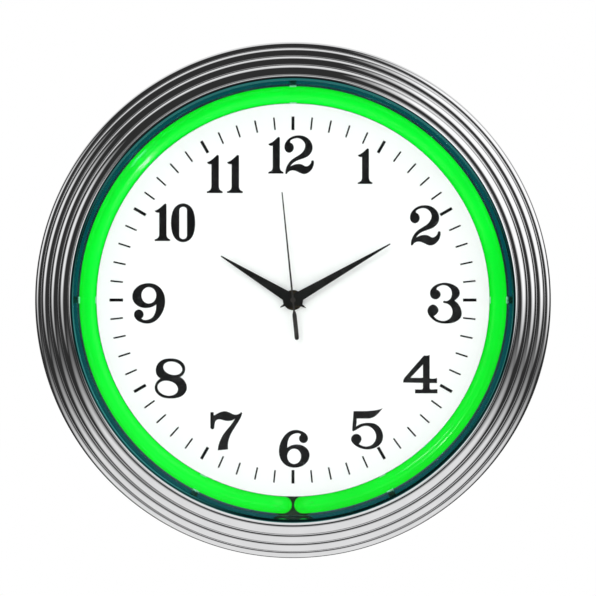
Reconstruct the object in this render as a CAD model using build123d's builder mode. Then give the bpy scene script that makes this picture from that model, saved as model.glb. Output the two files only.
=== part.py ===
from build123d import *
import os
from math import asin, cos, degrees, radians, sin, tan

os.makedirs("parts", exist_ok=True)

# A 15 inch wall clock with a neon ring. All sizes are millimetres.
# The origin is the middle of the hanger's keyhole, in the plane of the wall (Y = 0).
# +Z is up, and the face looks along -Y. "Height" is the distance in front of the wall.

# ---- Driving dimensions ----
CASE_RADIUS = 190.5
AXIS_Z = -140.0
OPENING_RADIUS = 161.3
SEAT_HEIGHT = 70.0
SKIRT_HEIGHT = 36.0
SKIRT_INNER = 188.5
LIP_EDGE = (165.4, 73.2)
LIP_TILT = 45.0
BEAD_EDGES = [173.2, 179.8, 186.1, CASE_RADIUS]
BEAD_TILT = 15.0

LENS_RADIUS = 168.0
LENS_THICKNESS = 3.0
GASKET_THICKNESS = 1.0
LENS_BACK = SEAT_HEIGHT - GASKET_THICKNESS - LENS_THICKNESS
FLANGE_HEIGHT = 40.0
FLANGE_THICKNESS = 3.0
FLANGE_FRONT = FLANGE_HEIGHT + FLANGE_THICKNESS
FLANGE_RADIUS = 187.5
CASE_SCREW_RADIUS = 183.0
CASE_SCREW_ANGLES = [30, 90, 150, 210, 270, 330]

BACK_HEIGHT = 2.0
WALL = 2.5
PAN_BACK_RADIUS = 165.0
PAN_FRONT_RADIUS = 178.0
WELL_SIZE = 62.0
WELL_TOP = 33.8
POST_RADIUS = 152.0
POST_ANGLES = [60, 120, 205, 330]

SOCKET_ANGLE = -12.0
SOCKET_RADIUS = 157.0
SOCKET_HEIGHT = 18.0
SOCKET_WIDTH = 62.0
SOCKET_TOP = 33.0
SWITCH_X = 14.0
JACK_X = -15.0

DIAL_RADIUS = 145.0
DIAL_BACK = 52.0
DIAL_THICKNESS = 1.2
DIAL_FRONT = DIAL_BACK + DIAL_THICKNESS
INK = 0.15
TICK_OUTER = 135.5
HOUR_TICK = (2.2, 10.0)
MINUTE_TICK = (1.2, 9.2)

CHANNEL_FLOOR = 36.0
CHANNEL_SKIN = 1.5
CHANNEL_INNER = 141.5
CHANNEL_OUTER = 161.5
TUBE_RING_RADIUS = 151.7
TUBE_RADIUS = 6.3
TUBE_WALL = 1.0
TUBE_HEIGHT = 49.0
TUBE_BEND = 9.0
TUBE_GAP = 1.5
ELECTRODE_HEIGHT = 18.0
ELECTRODE_TILT = 20.0
ELECTRODE_RADIUS = 7.2
ELECTRODE_LENGTH = 42.0
CAP_RADIUS = 8.6
CLIP_ANGLES = [90, 0, 180, 243, 297]

SUPPLY_CENTRE = (0, -82)
SUPPLY_SIZE = (84, 46)
SUPPLY_BASE = BACK_HEIGHT + WALL
SUPPLY_HEIGHT = 30.0
HV_WIRE = 2.0
LV_WIRE = 0.9
WIRE_HEIGHT = 18.0

MOVEMENT_SIZE = 56.0
MOVEMENT_BACK = 35.5
MOVEMENT_WALL = 1.2
COVER_THICKNESS = 1.2
BAY_TOP = -12.0
CELL_Z = -19.5
BATTERY_RADIUS = 7.0
BATTERY_HEIGHT = 43.6

HOUR_ANGLE = 301.4
MINUTE_ANGLE = 60.0
SECOND_ANGLE = 354.2
HOUR_HAND_HEIGHT = 57.4
MINUTE_HAND_HEIGHT = 59.2
SECOND_HAND_HEIGHT = 61.0
HAND_SHEET = 0.5

CLOCK_AXIS = Axis((0, 0, AXIS_Z), (0, -1, 0))
SECTION = Plane(origin=(0, 0, AXIS_Z), x_dir=(1, 0, 0), z_dir=(0, 0, -1))


def face_plane(height, angle=0.0):
    """The plane parallel to the dial at a height, turned clockwise by an angle in degrees."""
    turn = radians(angle)
    return Plane(origin=(0, -height, AXIS_Z), x_dir=(cos(turn), 0, -sin(turn)), z_dir=(0, -1, 0))


def at(x, z, height):
    """A point from its place on the dial, right and up from the clock's axis, and its height."""
    return Vector(x, -height, AXIS_Z + z)


def socket_plane(x, radius=SOCKET_RADIUS):
    """A plane on the flat of the socket recess, facing out from the clock's axis."""
    turn = radians(SOCKET_ANGLE)
    out = Vector(cos(turn), 0, sin(turn))
    along = Vector(-sin(turn), 0, cos(turn))
    return Plane(origin=at(0, 0, SOCKET_HEIGHT) + out * radius + along * x, x_dir=along, z_dir=out)


def save(piece, name):
    piece.part.label = name
    export_step(piece.part, f"parts/{name}.step")


def ring(inner, outer, low, high):
    """A plain ring around the clock's axis, from one height to another."""
    with BuildSketch(face_plane(low)) as profile:
        Circle(outer)
        Circle(inner, mode=Mode.SUBTRACT)
    extrude(profile.sketch, amount=high - low)


def turned(points):
    """A body of revolution about the clock's axis, from points of radius and height."""
    with BuildSketch(SECTION) as profile:
        with BuildLine():
            Polyline(*points, close=True)
        make_face()
    revolve(profile.sketch, axis=CLOCK_AXIS)


def disc(x, z, radius, low, high, mode=Mode.ADD):
    """A round pin, boss or hole parallel to the clock's axis."""
    with BuildSketch(face_plane(low)) as profile:
        with Locations((x, z)):
            Circle(radius)
    extrude(profile.sketch, amount=high - low, mode=mode)


def block(x, z, width, tall, low, high, corner=0.0, mode=Mode.ADD):
    """A box with its width and height on the dial's plane, between two heights."""
    with BuildSketch(face_plane(low)) as profile:
        with Locations((x, z)):
            if corner:
                RectangleRounded(width, tall, corner)
            else:
                Rectangle(width, tall)
    extrude(profile.sketch, amount=high - low, mode=mode)


def polar(radius, angle):
    return radius * cos(radians(angle)), radius * sin(radians(angle))


# ---- Case: bezel, lens, gasket, retainer ----


def bead(start_radius, end, tilt):
    """A rounded step of the bezel: its start and middle, up to an end where it faces straight out.

    At its start it faces inward by the tilt, in degrees.
    """
    end_radius, end_height = end
    size = (end_radius - start_radius) / (1 + sin(radians(tilt)))
    middle_turn = radians((90 - tilt) / 2)
    start = (start_radius, end_height + size * cos(radians(tilt)))
    middle_radius = end_radius - size + size * sin(middle_turn)
    return start, (middle_radius, end_height + size * cos(middle_turn))


def bead_drop(start_radius, end_radius):
    """How far a bead steps down from its start to its end."""
    return (end_radius - start_radius) * cos(radians(BEAD_TILT)) / (1 + sin(radians(BEAD_TILT)))


bead_ends = [LIP_EDGE]
for edge in BEAD_EDGES:
    last_radius, last_height = bead_ends[-1]
    bead_ends.append((edge, last_height - bead_drop(last_radius, edge)))

with BuildPart() as bezel_ring:
    with BuildSketch(SECTION):
        with BuildLine():
            lip_start, lip_middle = bead(OPENING_RADIUS, LIP_EDGE, LIP_TILT)
            ThreePointArc(lip_start, lip_middle, LIP_EDGE)
            for before, end in zip(bead_ends, bead_ends[1:]):
                ThreePointArc(before, bead(before[0], end, BEAD_TILT)[1], end)
            Polyline(
                bead_ends[-1],
                (CASE_RADIUS, SKIRT_HEIGHT),
                (SKIRT_INNER, SKIRT_HEIGHT),
                (SKIRT_INNER, 53.2),
                (184.6, 55.6),
                (184.0, 58.2),
                (178.4, 60.4),
                (177.6, 64.0),
                (171.8, 65.4),
                (170.6, SEAT_HEIGHT),
                (OPENING_RADIUS, SEAT_HEIGHT),
                lip_start,
            )
        make_face()
    revolve(axis=CLOCK_AXIS)
    for angle in CASE_SCREW_ANGLES:
        boss_x, boss_z = polar(CASE_SCREW_RADIUS, angle)
        disc(boss_x, boss_z, 4.0, 46.0, 56.5)
        disc(boss_x, boss_z, 1.5, 46.0, 54.0, mode=Mode.SUBTRACT)
save(bezel_ring, "bezel_ring")

with BuildPart() as lens:
    disc(0, 0, LENS_RADIUS, LENS_BACK, LENS_BACK + LENS_THICKNESS)
    chamfer(lens.edges().filter_by(GeomType.CIRCLE), 0.5)
save(lens, "lens")

with BuildPart() as lens_gasket:
    ring(163.2, LENS_RADIUS - 0.5, SEAT_HEIGHT - GASKET_THICKNESS, SEAT_HEIGHT)
save(lens_gasket, "lens_gasket")

with BuildPart() as lens_retainer:
    turned(
        [
            (165.6, FLANGE_FRONT),
            (FLANGE_RADIUS, FLANGE_FRONT),
            (FLANGE_RADIUS, 46.0),
            (168.0, 46.0),
            (168.0, LENS_BACK),
            (165.6, LENS_BACK),
        ]
    )
    for angle in CASE_SCREW_ANGLES:
        disc(*polar(CASE_SCREW_RADIUS, angle), 1.8, FLANGE_FRONT, 46.0, mode=Mode.SUBTRACT)
save(lens_retainer, "lens_retainer")

# ---- Rear housing: a moulded pan with a well for the movement and a recess for the sockets ----
SOCKET_SIDE = Plane(
    origin=at(*polar(SOCKET_RADIUS, SOCKET_ANGLE), 0),
    x_dir=(cos(radians(SOCKET_ANGLE)), 0, sin(radians(SOCKET_ANGLE))),
    z_dir=(0, -1, 0),
)
OUTER_PAN = [
    (0, BACK_HEIGHT),
    (PAN_BACK_RADIUS, BACK_HEIGHT),
    (PAN_BACK_RADIUS + 7, BACK_HEIGHT + 5),
    (PAN_FRONT_RADIUS, FLANGE_HEIGHT),
    (FLANGE_RADIUS, FLANGE_HEIGHT),
    (FLANGE_RADIUS, FLANGE_FRONT),
    (0, FLANGE_FRONT),
]
INNER_PAN = [
    (0, BACK_HEIGHT + WALL),
    (PAN_BACK_RADIUS - 1, BACK_HEIGHT + WALL),
    (PAN_BACK_RADIUS + 4.2, BACK_HEIGHT + 7),
    (PAN_FRONT_RADIUS - WALL, FLANGE_HEIGHT),
    (PAN_FRONT_RADIUS - WALL, FLANGE_FRONT + 1),
    (0, FLANGE_FRONT + 1),
]

with BuildPart() as pan_inside:
    turned(INNER_PAN)
    with BuildSketch(SOCKET_SIDE):
        with Locations((20 - WALL, 0)):
            Rectangle(40, SOCKET_WIDTH + 2 * WALL)
    extrude(amount=SOCKET_TOP + WALL, mode=Mode.SUBTRACT)

with BuildPart() as rear_housing:
    turned(OUTER_PAN)
    with BuildSketch(SOCKET_SIDE):
        with Locations((20, 0)):
            Rectangle(40, SOCKET_WIDTH)
    extrude(amount=SOCKET_TOP, mode=Mode.SUBTRACT)
    add(pan_inside.part, mode=Mode.SUBTRACT)
    block(0, 0, WELL_SIZE + 2 * 2, WELL_SIZE + 2 * 2, BACK_HEIGHT, WELL_TOP, corner=5)
    block(0, 0, WELL_SIZE, WELL_SIZE, 0, WELL_TOP, corner=3, mode=Mode.SUBTRACT)
    for angle in POST_ANGLES:
        post_x, post_z = polar(POST_RADIUS, angle)
        disc(post_x, post_z, 4.5, BACK_HEIGHT + 1, CHANNEL_FLOOR)
        disc(post_x, post_z, 1.5, CHANNEL_FLOOR - 12, CHANNEL_FLOOR, mode=Mode.SUBTRACT)
    for angle in CASE_SCREW_ANGLES:
        disc(*polar(CASE_SCREW_RADIUS, angle), 1.8, FLANGE_HEIGHT, FLANGE_FRONT, mode=Mode.SUBTRACT)
    # The slot behind the keyhole lets a screw head in.
    block(0, -AXIS_Z + 3, 13, 26, 0, 6, corner=6, mode=Mode.SUBTRACT)
    for x in (-17, 17):
        disc(x, -AXIS_Z, 1.3, BACK_HEIGHT, BACK_HEIGHT + WALL, mode=Mode.SUBTRACT)
    # Cooling slots above the movement and beside it.
    for side in (-1, 1):
        for row in range(6):
            block(side * 88, 62 - 9 * row, 52, 3, 0, 6, corner=1.4, mode=Mode.SUBTRACT)
    # Cut-outs for the switch and the power socket.
    with BuildSketch(socket_plane(SWITCH_X, SOCKET_RADIUS - 4)):
        Rectangle(19.4, 13.2)
    extrude(amount=6, mode=Mode.SUBTRACT)
    with BuildSketch(socket_plane(JACK_X, SOCKET_RADIUS - 4)):
        Circle(4.0)
    extrude(amount=6, mode=Mode.SUBTRACT)
    for x in (-34, 34):
        disc(x, SUPPLY_CENTRE[1] + 29, 1.3, BACK_HEIGHT, SUPPLY_BASE, mode=Mode.SUBTRACT)
save(rear_housing, "rear_housing")

# ---- Fasteners of the case ----
with BuildPart() as case_screws:
    for angle in CASE_SCREW_ANGLES:
        screw_x, screw_z = polar(CASE_SCREW_RADIUS, angle)
        disc(screw_x, screw_z, 3.1, FLANGE_HEIGHT - 2.2, FLANGE_HEIGHT)
        disc(screw_x, screw_z, 1.48, FLANGE_HEIGHT, 52.0)
        block(screw_x, screw_z, 4.2, 0.8, FLANGE_HEIGHT - 2.2, FLANGE_HEIGHT - 1.2, mode=Mode.SUBTRACT)
        block(screw_x, screw_z, 0.8, 4.2, FLANGE_HEIGHT - 2.2, FLANGE_HEIGHT - 1.2, mode=Mode.SUBTRACT)
    head_rims = case_screws.edges().filter_by(GeomType.CIRCLE).group_by(Axis.Y)[-1]
    fillet(head_rims.filter_by(lambda edge: edge.radius > 3), 0.8)
save(case_screws, "case_screws")

with BuildPart() as hanger_plate:
    block(0, 140, 46, 34, 0, BACK_HEIGHT, corner=4)
    disc(0, 140, 5.0, 0, BACK_HEIGHT, mode=Mode.SUBTRACT)
    block(0, 146, 5.0, 12.0, 0, BACK_HEIGHT, mode=Mode.SUBTRACT)
    disc(0, 152, 2.5, 0, BACK_HEIGHT, mode=Mode.SUBTRACT)
    for x in (-17, 17):
        disc(x, 140, 1.8, 0, BACK_HEIGHT, mode=Mode.SUBTRACT)
        disc(x, 140, 3.3, 0, 1.2, mode=Mode.SUBTRACT)
save(hanger_plate, "hanger_plate")

with BuildPart() as hanger_screws:
    for x in (-17, 17):
        disc(x, 140, 3.0, 0.2, 1.2)
        disc(x, 140, 1.28, 1.2, 8.0)
        block(x, 140, 3.6, 0.7, 0.2, 0.8, mode=Mode.SUBTRACT)
        block(x, 140, 0.7, 3.6, 0.2, 0.8, mode=Mode.SUBTRACT)
save(hanger_screws, "hanger_screws")

with BuildPart() as rear_bumpers:
    for angle in (225, 270, 315):
        bump_x, bump_z = polar(146, angle)
        disc(bump_x, bump_z, 8.0, 0, BACK_HEIGHT)
    fillet(rear_bumpers.edges().filter_by(GeomType.CIRCLE).group_by(Axis.Y)[-1], 0.9)
save(rear_bumpers, "rear_bumpers")

# ---- Neon tube: a ring whose ends turn back through the channel to their electrodes ----
leg_x = TUBE_GAP / 2 + TUBE_RADIUS
end_turn = degrees(asin((leg_x + TUBE_BEND) / TUBE_RING_RADIUS))
tilt = radians(ELECTRODE_TILT)


def ring_point(turn):
    """A point on the tube's centre ring, from its turn away from six o'clock in degrees."""
    x = TUBE_RING_RADIUS * sin(radians(turn))
    return at(x, -TUBE_RING_RADIUS * cos(radians(turn)), TUBE_HEIGHT)


def leg_end(side):
    """Where the leg meets its second bend, and the way the electrode runs from there."""
    inward = Vector(-side * cos(radians(end_turn)), 0, -sin(radians(end_turn)))
    first = ring_point(side * end_turn) + inward * TUBE_BEND + Vector(0, TUBE_BEND, 0)
    away = Vector(side * cos(tilt), 0, sin(tilt))
    second = Vector(first.X, -(ELECTRODE_HEIGHT + TUBE_BEND), first.Z)
    return inward, first, second, away


left_in, left_first, left_second, left_away = leg_end(-1)
right_in, right_first, right_second, right_away = leg_end(1)
back = Vector(0, 1, 0)
STUB = 6.0
LEG_Z = left_first.Z - AXIS_Z
GROMMET_SLOT = (30.2, 14.8)

# ---- Mirror channel behind the tube ----
with BuildPart() as tube_channel:
    turned(
        [
            (128.0, DIAL_BACK - CHANNEL_SKIN),
            (CHANNEL_INNER, DIAL_BACK - CHANNEL_SKIN),
            (CHANNEL_INNER, CHANNEL_FLOOR),
            (CHANNEL_OUTER, CHANNEL_FLOOR),
            (164.9, 63.0),
            (163.3, 63.0),
            (160.2, CHANNEL_FLOOR + CHANNEL_SKIN),
            (CHANNEL_INNER + CHANNEL_SKIN, CHANNEL_FLOOR + CHANNEL_SKIN),
            (CHANNEL_INNER + CHANNEL_SKIN, DIAL_BACK),
            (128.0, DIAL_BACK),
        ]
    )
    for angle in POST_ANGLES:
        disc(*polar(POST_RADIUS, angle), 1.8, CHANNEL_FLOOR, CHANNEL_FLOOR + 2, mode=Mode.SUBTRACT)
    block(0, LEG_Z, *GROMMET_SLOT, CHANNEL_FLOOR, CHANNEL_FLOOR + 2, corner=7.3, mode=Mode.SUBTRACT)
save(tube_channel, "tube_channel")

with BuildPart() as channel_screws:
    for angle in POST_ANGLES:
        screw_x, screw_z = polar(POST_RADIUS, angle)
        disc(screw_x, screw_z, 3.0, CHANNEL_FLOOR + CHANNEL_SKIN, CHANNEL_FLOOR + 3.5)
        disc(screw_x, screw_z, 1.48, CHANNEL_FLOOR - 10, CHANNEL_FLOOR + CHANNEL_SKIN)
    fillet(channel_screws.edges().filter_by(GeomType.CIRCLE).group_by(Axis.Y)[0], 0.8)
save(channel_screws, "channel_screws")

with BuildPart() as neon_tube:
    with BuildLine() as tube_path:
        bend_end = left_second + (left_away + back) * TUBE_BEND
        Line(bend_end + left_away * STUB, bend_end)
        TangentArc(bend_end, left_second, tangent=-left_away)
        Line(left_second, left_first)
        TangentArc(left_first, ring_point(-end_turn), tangent=-back)
        ThreePointArc(ring_point(-end_turn), ring_point(180), ring_point(end_turn))
        TangentArc(ring_point(end_turn), right_first, tangent=right_in)
        Line(right_first, right_second)
        TangentArc(right_second, right_second + (right_away + back) * TUBE_BEND, tangent=back)
        bend_start = right_second + (right_away + back) * TUBE_BEND
        Line(bend_start, bend_start + right_away * STUB)
    with BuildSketch(Plane(origin=tube_path.wires()[0] @ 0, z_dir=tube_path.wires()[0] % 0)):
        Circle(TUBE_RADIUS)
        Circle(TUBE_RADIUS - TUBE_WALL, mode=Mode.SUBTRACT)
    sweep(path=tube_path.wires()[0])
save(neon_tube, "neon_tube")


def electrode_plane(side, distance):
    """A plane across an electrode, at a distance past the end of the tube."""
    away = left_away if side < 0 else right_away
    second = left_second if side < 0 else right_second
    start = second + (away + back) * TUBE_BEND + away * STUB
    return Plane(origin=start + away * distance, x_dir=(0, 1, 0), z_dir=away)


with BuildPart() as electrodes:
    for side in (-1, 1):
        with BuildSketch(electrode_plane(side, 0)):
            Circle(ELECTRODE_RADIUS)
        extrude(amount=ELECTRODE_LENGTH)
    rims = electrodes.edges().filter_by(GeomType.CIRCLE)
    fillet(rims, 1.5)
save(electrodes, "electrodes")

with BuildPart() as electrode_caps:
    for side in (-1, 1):
        with BuildSketch(electrode_plane(side, ELECTRODE_LENGTH - 14)):
            Circle(CAP_RADIUS)
        extrude(amount=26)
        with BuildSketch(electrode_plane(side, ELECTRODE_LENGTH - 14)):
            Circle(ELECTRODE_RADIUS)
        extrude(amount=14, mode=Mode.SUBTRACT)
    cap_ends = electrode_caps.edges().filter_by(GeomType.CIRCLE).filter_by(lambda e: e.radius > 8)
    fillet(cap_ends, 1.2)
save(electrode_caps, "electrode_caps")

with BuildPart() as tube_grommet:
    slot_wide, slot_tall = GROMMET_SLOT
    block(0, LEG_Z, slot_wide + 2, slot_tall + 0.8, CHANNEL_FLOOR - 1.2, CHANNEL_FLOOR, corner=7.6)
    channel_face = CHANNEL_FLOOR + CHANNEL_SKIN
    block(0, LEG_Z, slot_wide - 0.4, slot_tall - 0.4, CHANNEL_FLOOR, channel_face, corner=7.1)
    block(0, LEG_Z, slot_wide + 2, slot_tall + 0.8, channel_face, CHANNEL_FLOOR + 2.7, corner=7.6)
    for leg in (left_first, right_first):
        disc(leg.X, LEG_Z, TUBE_RADIUS + 0.05, 30, 42, mode=Mode.SUBTRACT)
save(tube_grommet, "tube_grommet")

with BuildPart() as tube_clips:
    for angle in CLIP_ANGLES:
        out = Vector(cos(radians(angle)), 0, sin(radians(angle)))
        across = Vector(sin(radians(angle)), 0, -cos(radians(angle)))
        centre = at(*polar(TUBE_RING_RADIUS, angle), TUBE_HEIGHT)
        with BuildSketch(Plane(origin=centre - across * 2.5, x_dir=out, z_dir=across)):
            Circle(TUBE_RADIUS + 1.0)
            Circle(TUBE_RADIUS + 0.05, mode=Mode.SUBTRACT)
            with Locations((0, TUBE_RADIUS + 1.6)):
                Rectangle(24, 10, mode=Mode.SUBTRACT)
            with Locations((0, (CHANNEL_FLOOR + CHANNEL_SKIN - TUBE_HEIGHT - TUBE_RADIUS) / 2 - 0.2)):
                Rectangle(3.0, TUBE_HEIGHT - TUBE_RADIUS - CHANNEL_FLOOR - CHANNEL_SKIN - 0.4)
            with Locations((0, CHANNEL_FLOOR + CHANNEL_SKIN - TUBE_HEIGHT + 0.6)):
                Rectangle(9.0, 1.2)
        extrude(amount=5)
save(tube_clips, "tube_clips")

# ---- Tube supply, with its high-voltage leads ----
supply_x, supply_z = SUPPLY_CENTRE
supply_wide, supply_tall = SUPPLY_SIZE
with BuildPart() as supply_case:
    block(supply_x, supply_z, supply_wide, supply_tall, SUPPLY_BASE, SUPPLY_BASE + SUPPLY_HEIGHT, corner=3)
    for x in (-34, 34):
        block(x, supply_z + supply_tall / 2 + 5, 12, 12, SUPPLY_BASE, SUPPLY_BASE + 3, corner=2)
        disc(x, supply_z + 29, 1.8, SUPPLY_BASE, SUPPLY_BASE + 3, mode=Mode.SUBTRACT)
    cavity = (supply_wide - 4, supply_tall - 4)
    block(supply_x, supply_z, *cavity, SUPPLY_BASE, SUPPLY_BASE + 28, mode=Mode.SUBTRACT)
    for side in (-1, 1):
        with BuildSketch(Plane(origin=at(side * 44, supply_z, ELECTRODE_HEIGHT), z_dir=(-side, 0, 0))):
            Circle(HV_WIRE)
        extrude(amount=6, mode=Mode.SUBTRACT)
    supply_top = supply_z + supply_tall / 2
    wire_holes = Plane(origin=at(10, supply_top + 1, WIRE_HEIGHT), x_dir=(1, 0, 0), z_dir=(0, 0, -1))
    with BuildSketch(wire_holes):
        with Locations((-3, 0), (3, 0)):
            Circle(LV_WIRE)
    extrude(amount=6, mode=Mode.SUBTRACT)
save(supply_case, "supply_case")

with BuildPart() as supply_core:
    block(supply_x, supply_z, 30, 34, SUPPLY_BASE + 3, SUPPLY_BASE + 25, corner=2)
    block(supply_x, supply_z, supply_wide - 6, supply_tall - 6, SUPPLY_BASE + 1.2, SUPPLY_BASE + 3)
    for x in (-28, 28):
        block(x, supply_z, 14, 22, SUPPLY_BASE + 3, SUPPLY_BASE + 9, corner=1)
save(supply_core, "supply_core")

with BuildPart() as supply_screws:
    for x in (-34, 34):
        disc(x, supply_z + 29, 3.0, SUPPLY_BASE + 3, SUPPLY_BASE + 5)
        disc(x, supply_z + 29, 1.28, BACK_HEIGHT + 0.5, SUPPLY_BASE + 3)
    fillet(supply_screws.edges().filter_by(GeomType.CIRCLE).group_by(Axis.Y)[0], 0.8)
save(supply_screws, "supply_screws")


def wire_radii(points):
    """Each corner's largest tangent arc: 0.45 of its shorter run over the tangent of half the turn."""
    radii = []
    for before, corner, after in zip(points, points[1:], points[2:]):
        run_in = corner - before
        run_out = after - corner
        half_turn = radians(run_in.get_angle(run_out) / 2)
        radii.append(0.45 * min(run_in.length, run_out.length) / tan(half_turn))
    return radii


def lay_wire(points, radius):
    """A round wire along straight runs joined by tangent arcs."""
    with BuildLine() as route:
        FilletPolyline(*points, radius=wire_radii(points))
    path = route.wires()[0]
    with BuildSketch(Plane(origin=path @ 0, z_dir=path % 0)) as section:
        Circle(radius)
    sweep(section.sketch, path=path)
    print("wire", [round(r, 1) for r in wire_radii(points)], round(path.length, 1))
    return path.length


def hv_route(side):
    """From an electrode cap round to the side of the tube supply."""
    cap_end = electrode_plane(side, ELECTRODE_LENGTH + 12)
    return [
        cap_end.origin,
        cap_end.origin + cap_end.z_dir * 14,
        at(side * 103, -115, WIRE_HEIGHT),
        at(side * 110, -101, WIRE_HEIGHT),
        at(side * 105, -88, WIRE_HEIGHT),
        at(side * 88, -82.5, WIRE_HEIGHT),
        at(side * 64, supply_z, WIRE_HEIGHT),
        at(side * supply_wide / 2, supply_z, WIRE_HEIGHT),
    ]


with BuildPart() as hv_lead_left:
    lay_wire(hv_route(-1), HV_WIRE)
save(hv_lead_left, "hv_lead_left")

with BuildPart() as hv_lead_right:
    lay_wire(hv_route(1), HV_WIRE)
save(hv_lead_right, "hv_lead_right")

# ---- Power switch and socket, on the flat of the recess ----
SWITCH_DEPTH = 20.0
ROCKER_PIVOT = -1.5
ROCKER_REST = 12.0


def socket_point(x, depth):
    """A point behind the flat of the recess, at the sockets' height."""
    return socket_plane(x, SOCKET_RADIUS - depth).origin


with BuildPart() as switch_body:
    with BuildSketch(socket_plane(SWITCH_X)):
        RectangleRounded(21.5, 15.0, 1.5)
    extrude(amount=1.5)
    with BuildSketch(socket_plane(SWITCH_X, SOCKET_RADIUS - SWITCH_DEPTH)):
        Rectangle(19.0, 13.0)
    extrude(amount=SWITCH_DEPTH)
    with BuildSketch(socket_plane(SWITCH_X, SOCKET_RADIUS - 8)):
        Rectangle(16.4, 10.6)
    extrude(amount=10, mode=Mode.SUBTRACT)
    pivot_plane = Plane(origin=socket_point(SWITCH_X, -ROCKER_PIVOT), z_dir=(0, -1, 0))
    with BuildSketch(pivot_plane.offset(-6.0)):
        Circle(1.25)
    extrude(amount=12, mode=Mode.SUBTRACT)
save(switch_body, "switch_body")

# The rocker rests in its on position, with its upper end pressed in.
rocker_turn = radians(90 + SOCKET_ANGLE + ROCKER_REST)
rocker_profile = Plane(
    origin=socket_point(SWITCH_X, -ROCKER_PIVOT) + Vector(0, -5, 0),
    x_dir=(cos(rocker_turn), 0, sin(rocker_turn)),
    z_dir=(0, 1, 0),
)
with BuildPart() as switch_rocker:
    with BuildSketch(rocker_profile):
        with BuildLine():
            Line((-7.0, -4.8), (-7.0, 1.0))
            ThreePointArc((-7.0, 1.0), (0, 4.0), (7.0, 1.0))
            Line((7.0, 1.0), (7.0, -4.8))
            ThreePointArc((7.0, -4.8), (0, -3.6), (-7.0, -4.8))
        make_face()
    extrude(amount=10)
    with BuildSketch(rocker_profile.offset(-0.8)):
        Circle(1.2)
    extrude(amount=11.6)
save(switch_rocker, "switch_rocker")

with BuildPart() as switch_lugs:
    for x in (SWITCH_X - 4, SWITCH_X + 4):
        with BuildSketch(socket_plane(x, SOCKET_RADIUS - SWITCH_DEPTH - 4)):
            Rectangle(0.8, 3.0)
        extrude(amount=4)
save(switch_lugs, "switch_lugs")

with BuildPart() as jack_body:
    with BuildSketch(socket_plane(JACK_X, SOCKET_RADIUS - 12)):
        Circle(5.4)
    extrude(amount=12 - WALL)
    with BuildSketch(socket_plane(JACK_X, SOCKET_RADIUS - WALL)):
        Circle(3.98)
    extrude(amount=WALL + 4)
    with BuildSketch(socket_plane(JACK_X, SOCKET_RADIUS - 8)):
        Circle(2.85)
    extrude(amount=12, mode=Mode.SUBTRACT)
save(jack_body, "jack_body")

with BuildPart() as jack_nut:
    with BuildSketch(socket_plane(JACK_X, SOCKET_RADIUS)):
        RegularPolygon(5.5, 6, major_radius=False)
        Circle(4.0, mode=Mode.SUBTRACT)
    extrude(amount=2.0)
save(jack_nut, "jack_nut")

with BuildPart() as jack_contacts:
    with BuildSketch(socket_plane(JACK_X, SOCKET_RADIUS - 8)):
        Circle(1.0)
    extrude(amount=10.5)
    for x in (JACK_X - 1.8, JACK_X + 1.8):
        with BuildSketch(socket_plane(x, SOCKET_RADIUS - 15)):
            Rectangle(0.8, 2.4)
        extrude(amount=3)
save(jack_contacts, "jack_contacts")

# ---- Low-voltage leads ----
jack_in = socket_plane(0).z_dir * -1
supply_route = [
    socket_point(JACK_X - 1.8, 15),
    socket_point(JACK_X - 1.8, 15) + jack_in * 14,
    at(100, -42, WIRE_HEIGHT),
    at(70, -46, WIRE_HEIGHT),
    at(42, -46, WIRE_HEIGHT + 0.5),
    at(20, -44, WIRE_HEIGHT),
    at(13, -50, WIRE_HEIGHT),
    at(13, supply_top, WIRE_HEIGHT),
]
switch_route = [
    socket_point(JACK_X + 1.8, 15),
    socket_point(JACK_X + 1.8, 15) + jack_in * 9,
    at(117, -33, WIRE_HEIGHT),
    at(116, -23, WIRE_HEIGHT),
    socket_point(SWITCH_X - 4, SWITCH_DEPTH + 4) + jack_in * 9,
    socket_point(SWITCH_X - 4, SWITCH_DEPTH + 4),
]
return_route = [
    socket_point(SWITCH_X + 4, SWITCH_DEPTH + 4),
    socket_point(SWITCH_X + 4, SWITCH_DEPTH + 4) + jack_in * 14,
    at(102, -12, WIRE_HEIGHT),
    at(80, -26, WIRE_HEIGHT),
    at(55, -37.5, WIRE_HEIGHT),
    at(28, -39, WIRE_HEIGHT),
    at(12, -40.5, WIRE_HEIGHT),
    at(7, -48, WIRE_HEIGHT),
    at(7, supply_top, WIRE_HEIGHT),
]

with BuildPart() as supply_lead:
    lay_wire(supply_route, LV_WIRE)
save(supply_lead, "supply_lead")

with BuildPart() as switch_lead:
    lay_wire(switch_route, LV_WIRE)
save(switch_lead, "switch_lead")

with BuildPart() as return_lead:
    lay_wire(return_route, LV_WIRE)
save(return_lead, "return_lead")

# ---- Dial ----
with BuildPart() as dial:
    disc(0, 0, DIAL_RADIUS, DIAL_BACK, DIAL_FRONT)
    disc(0, 0, 4.1, DIAL_BACK, DIAL_FRONT, mode=Mode.SUBTRACT)
save(dial, "dial")

with BuildPart() as dial_ticks:
    for minute in range(60):
        wide, tall = MINUTE_TICK if minute % 5 else HOUR_TICK
        with BuildSketch(face_plane(DIAL_FRONT, 6 * minute)):
            with Locations((0, TICK_OUTER - tall / 2)):
                Rectangle(wide, tall)
        extrude(amount=INK)
save(dial_ticks, "dial_ticks")

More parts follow.
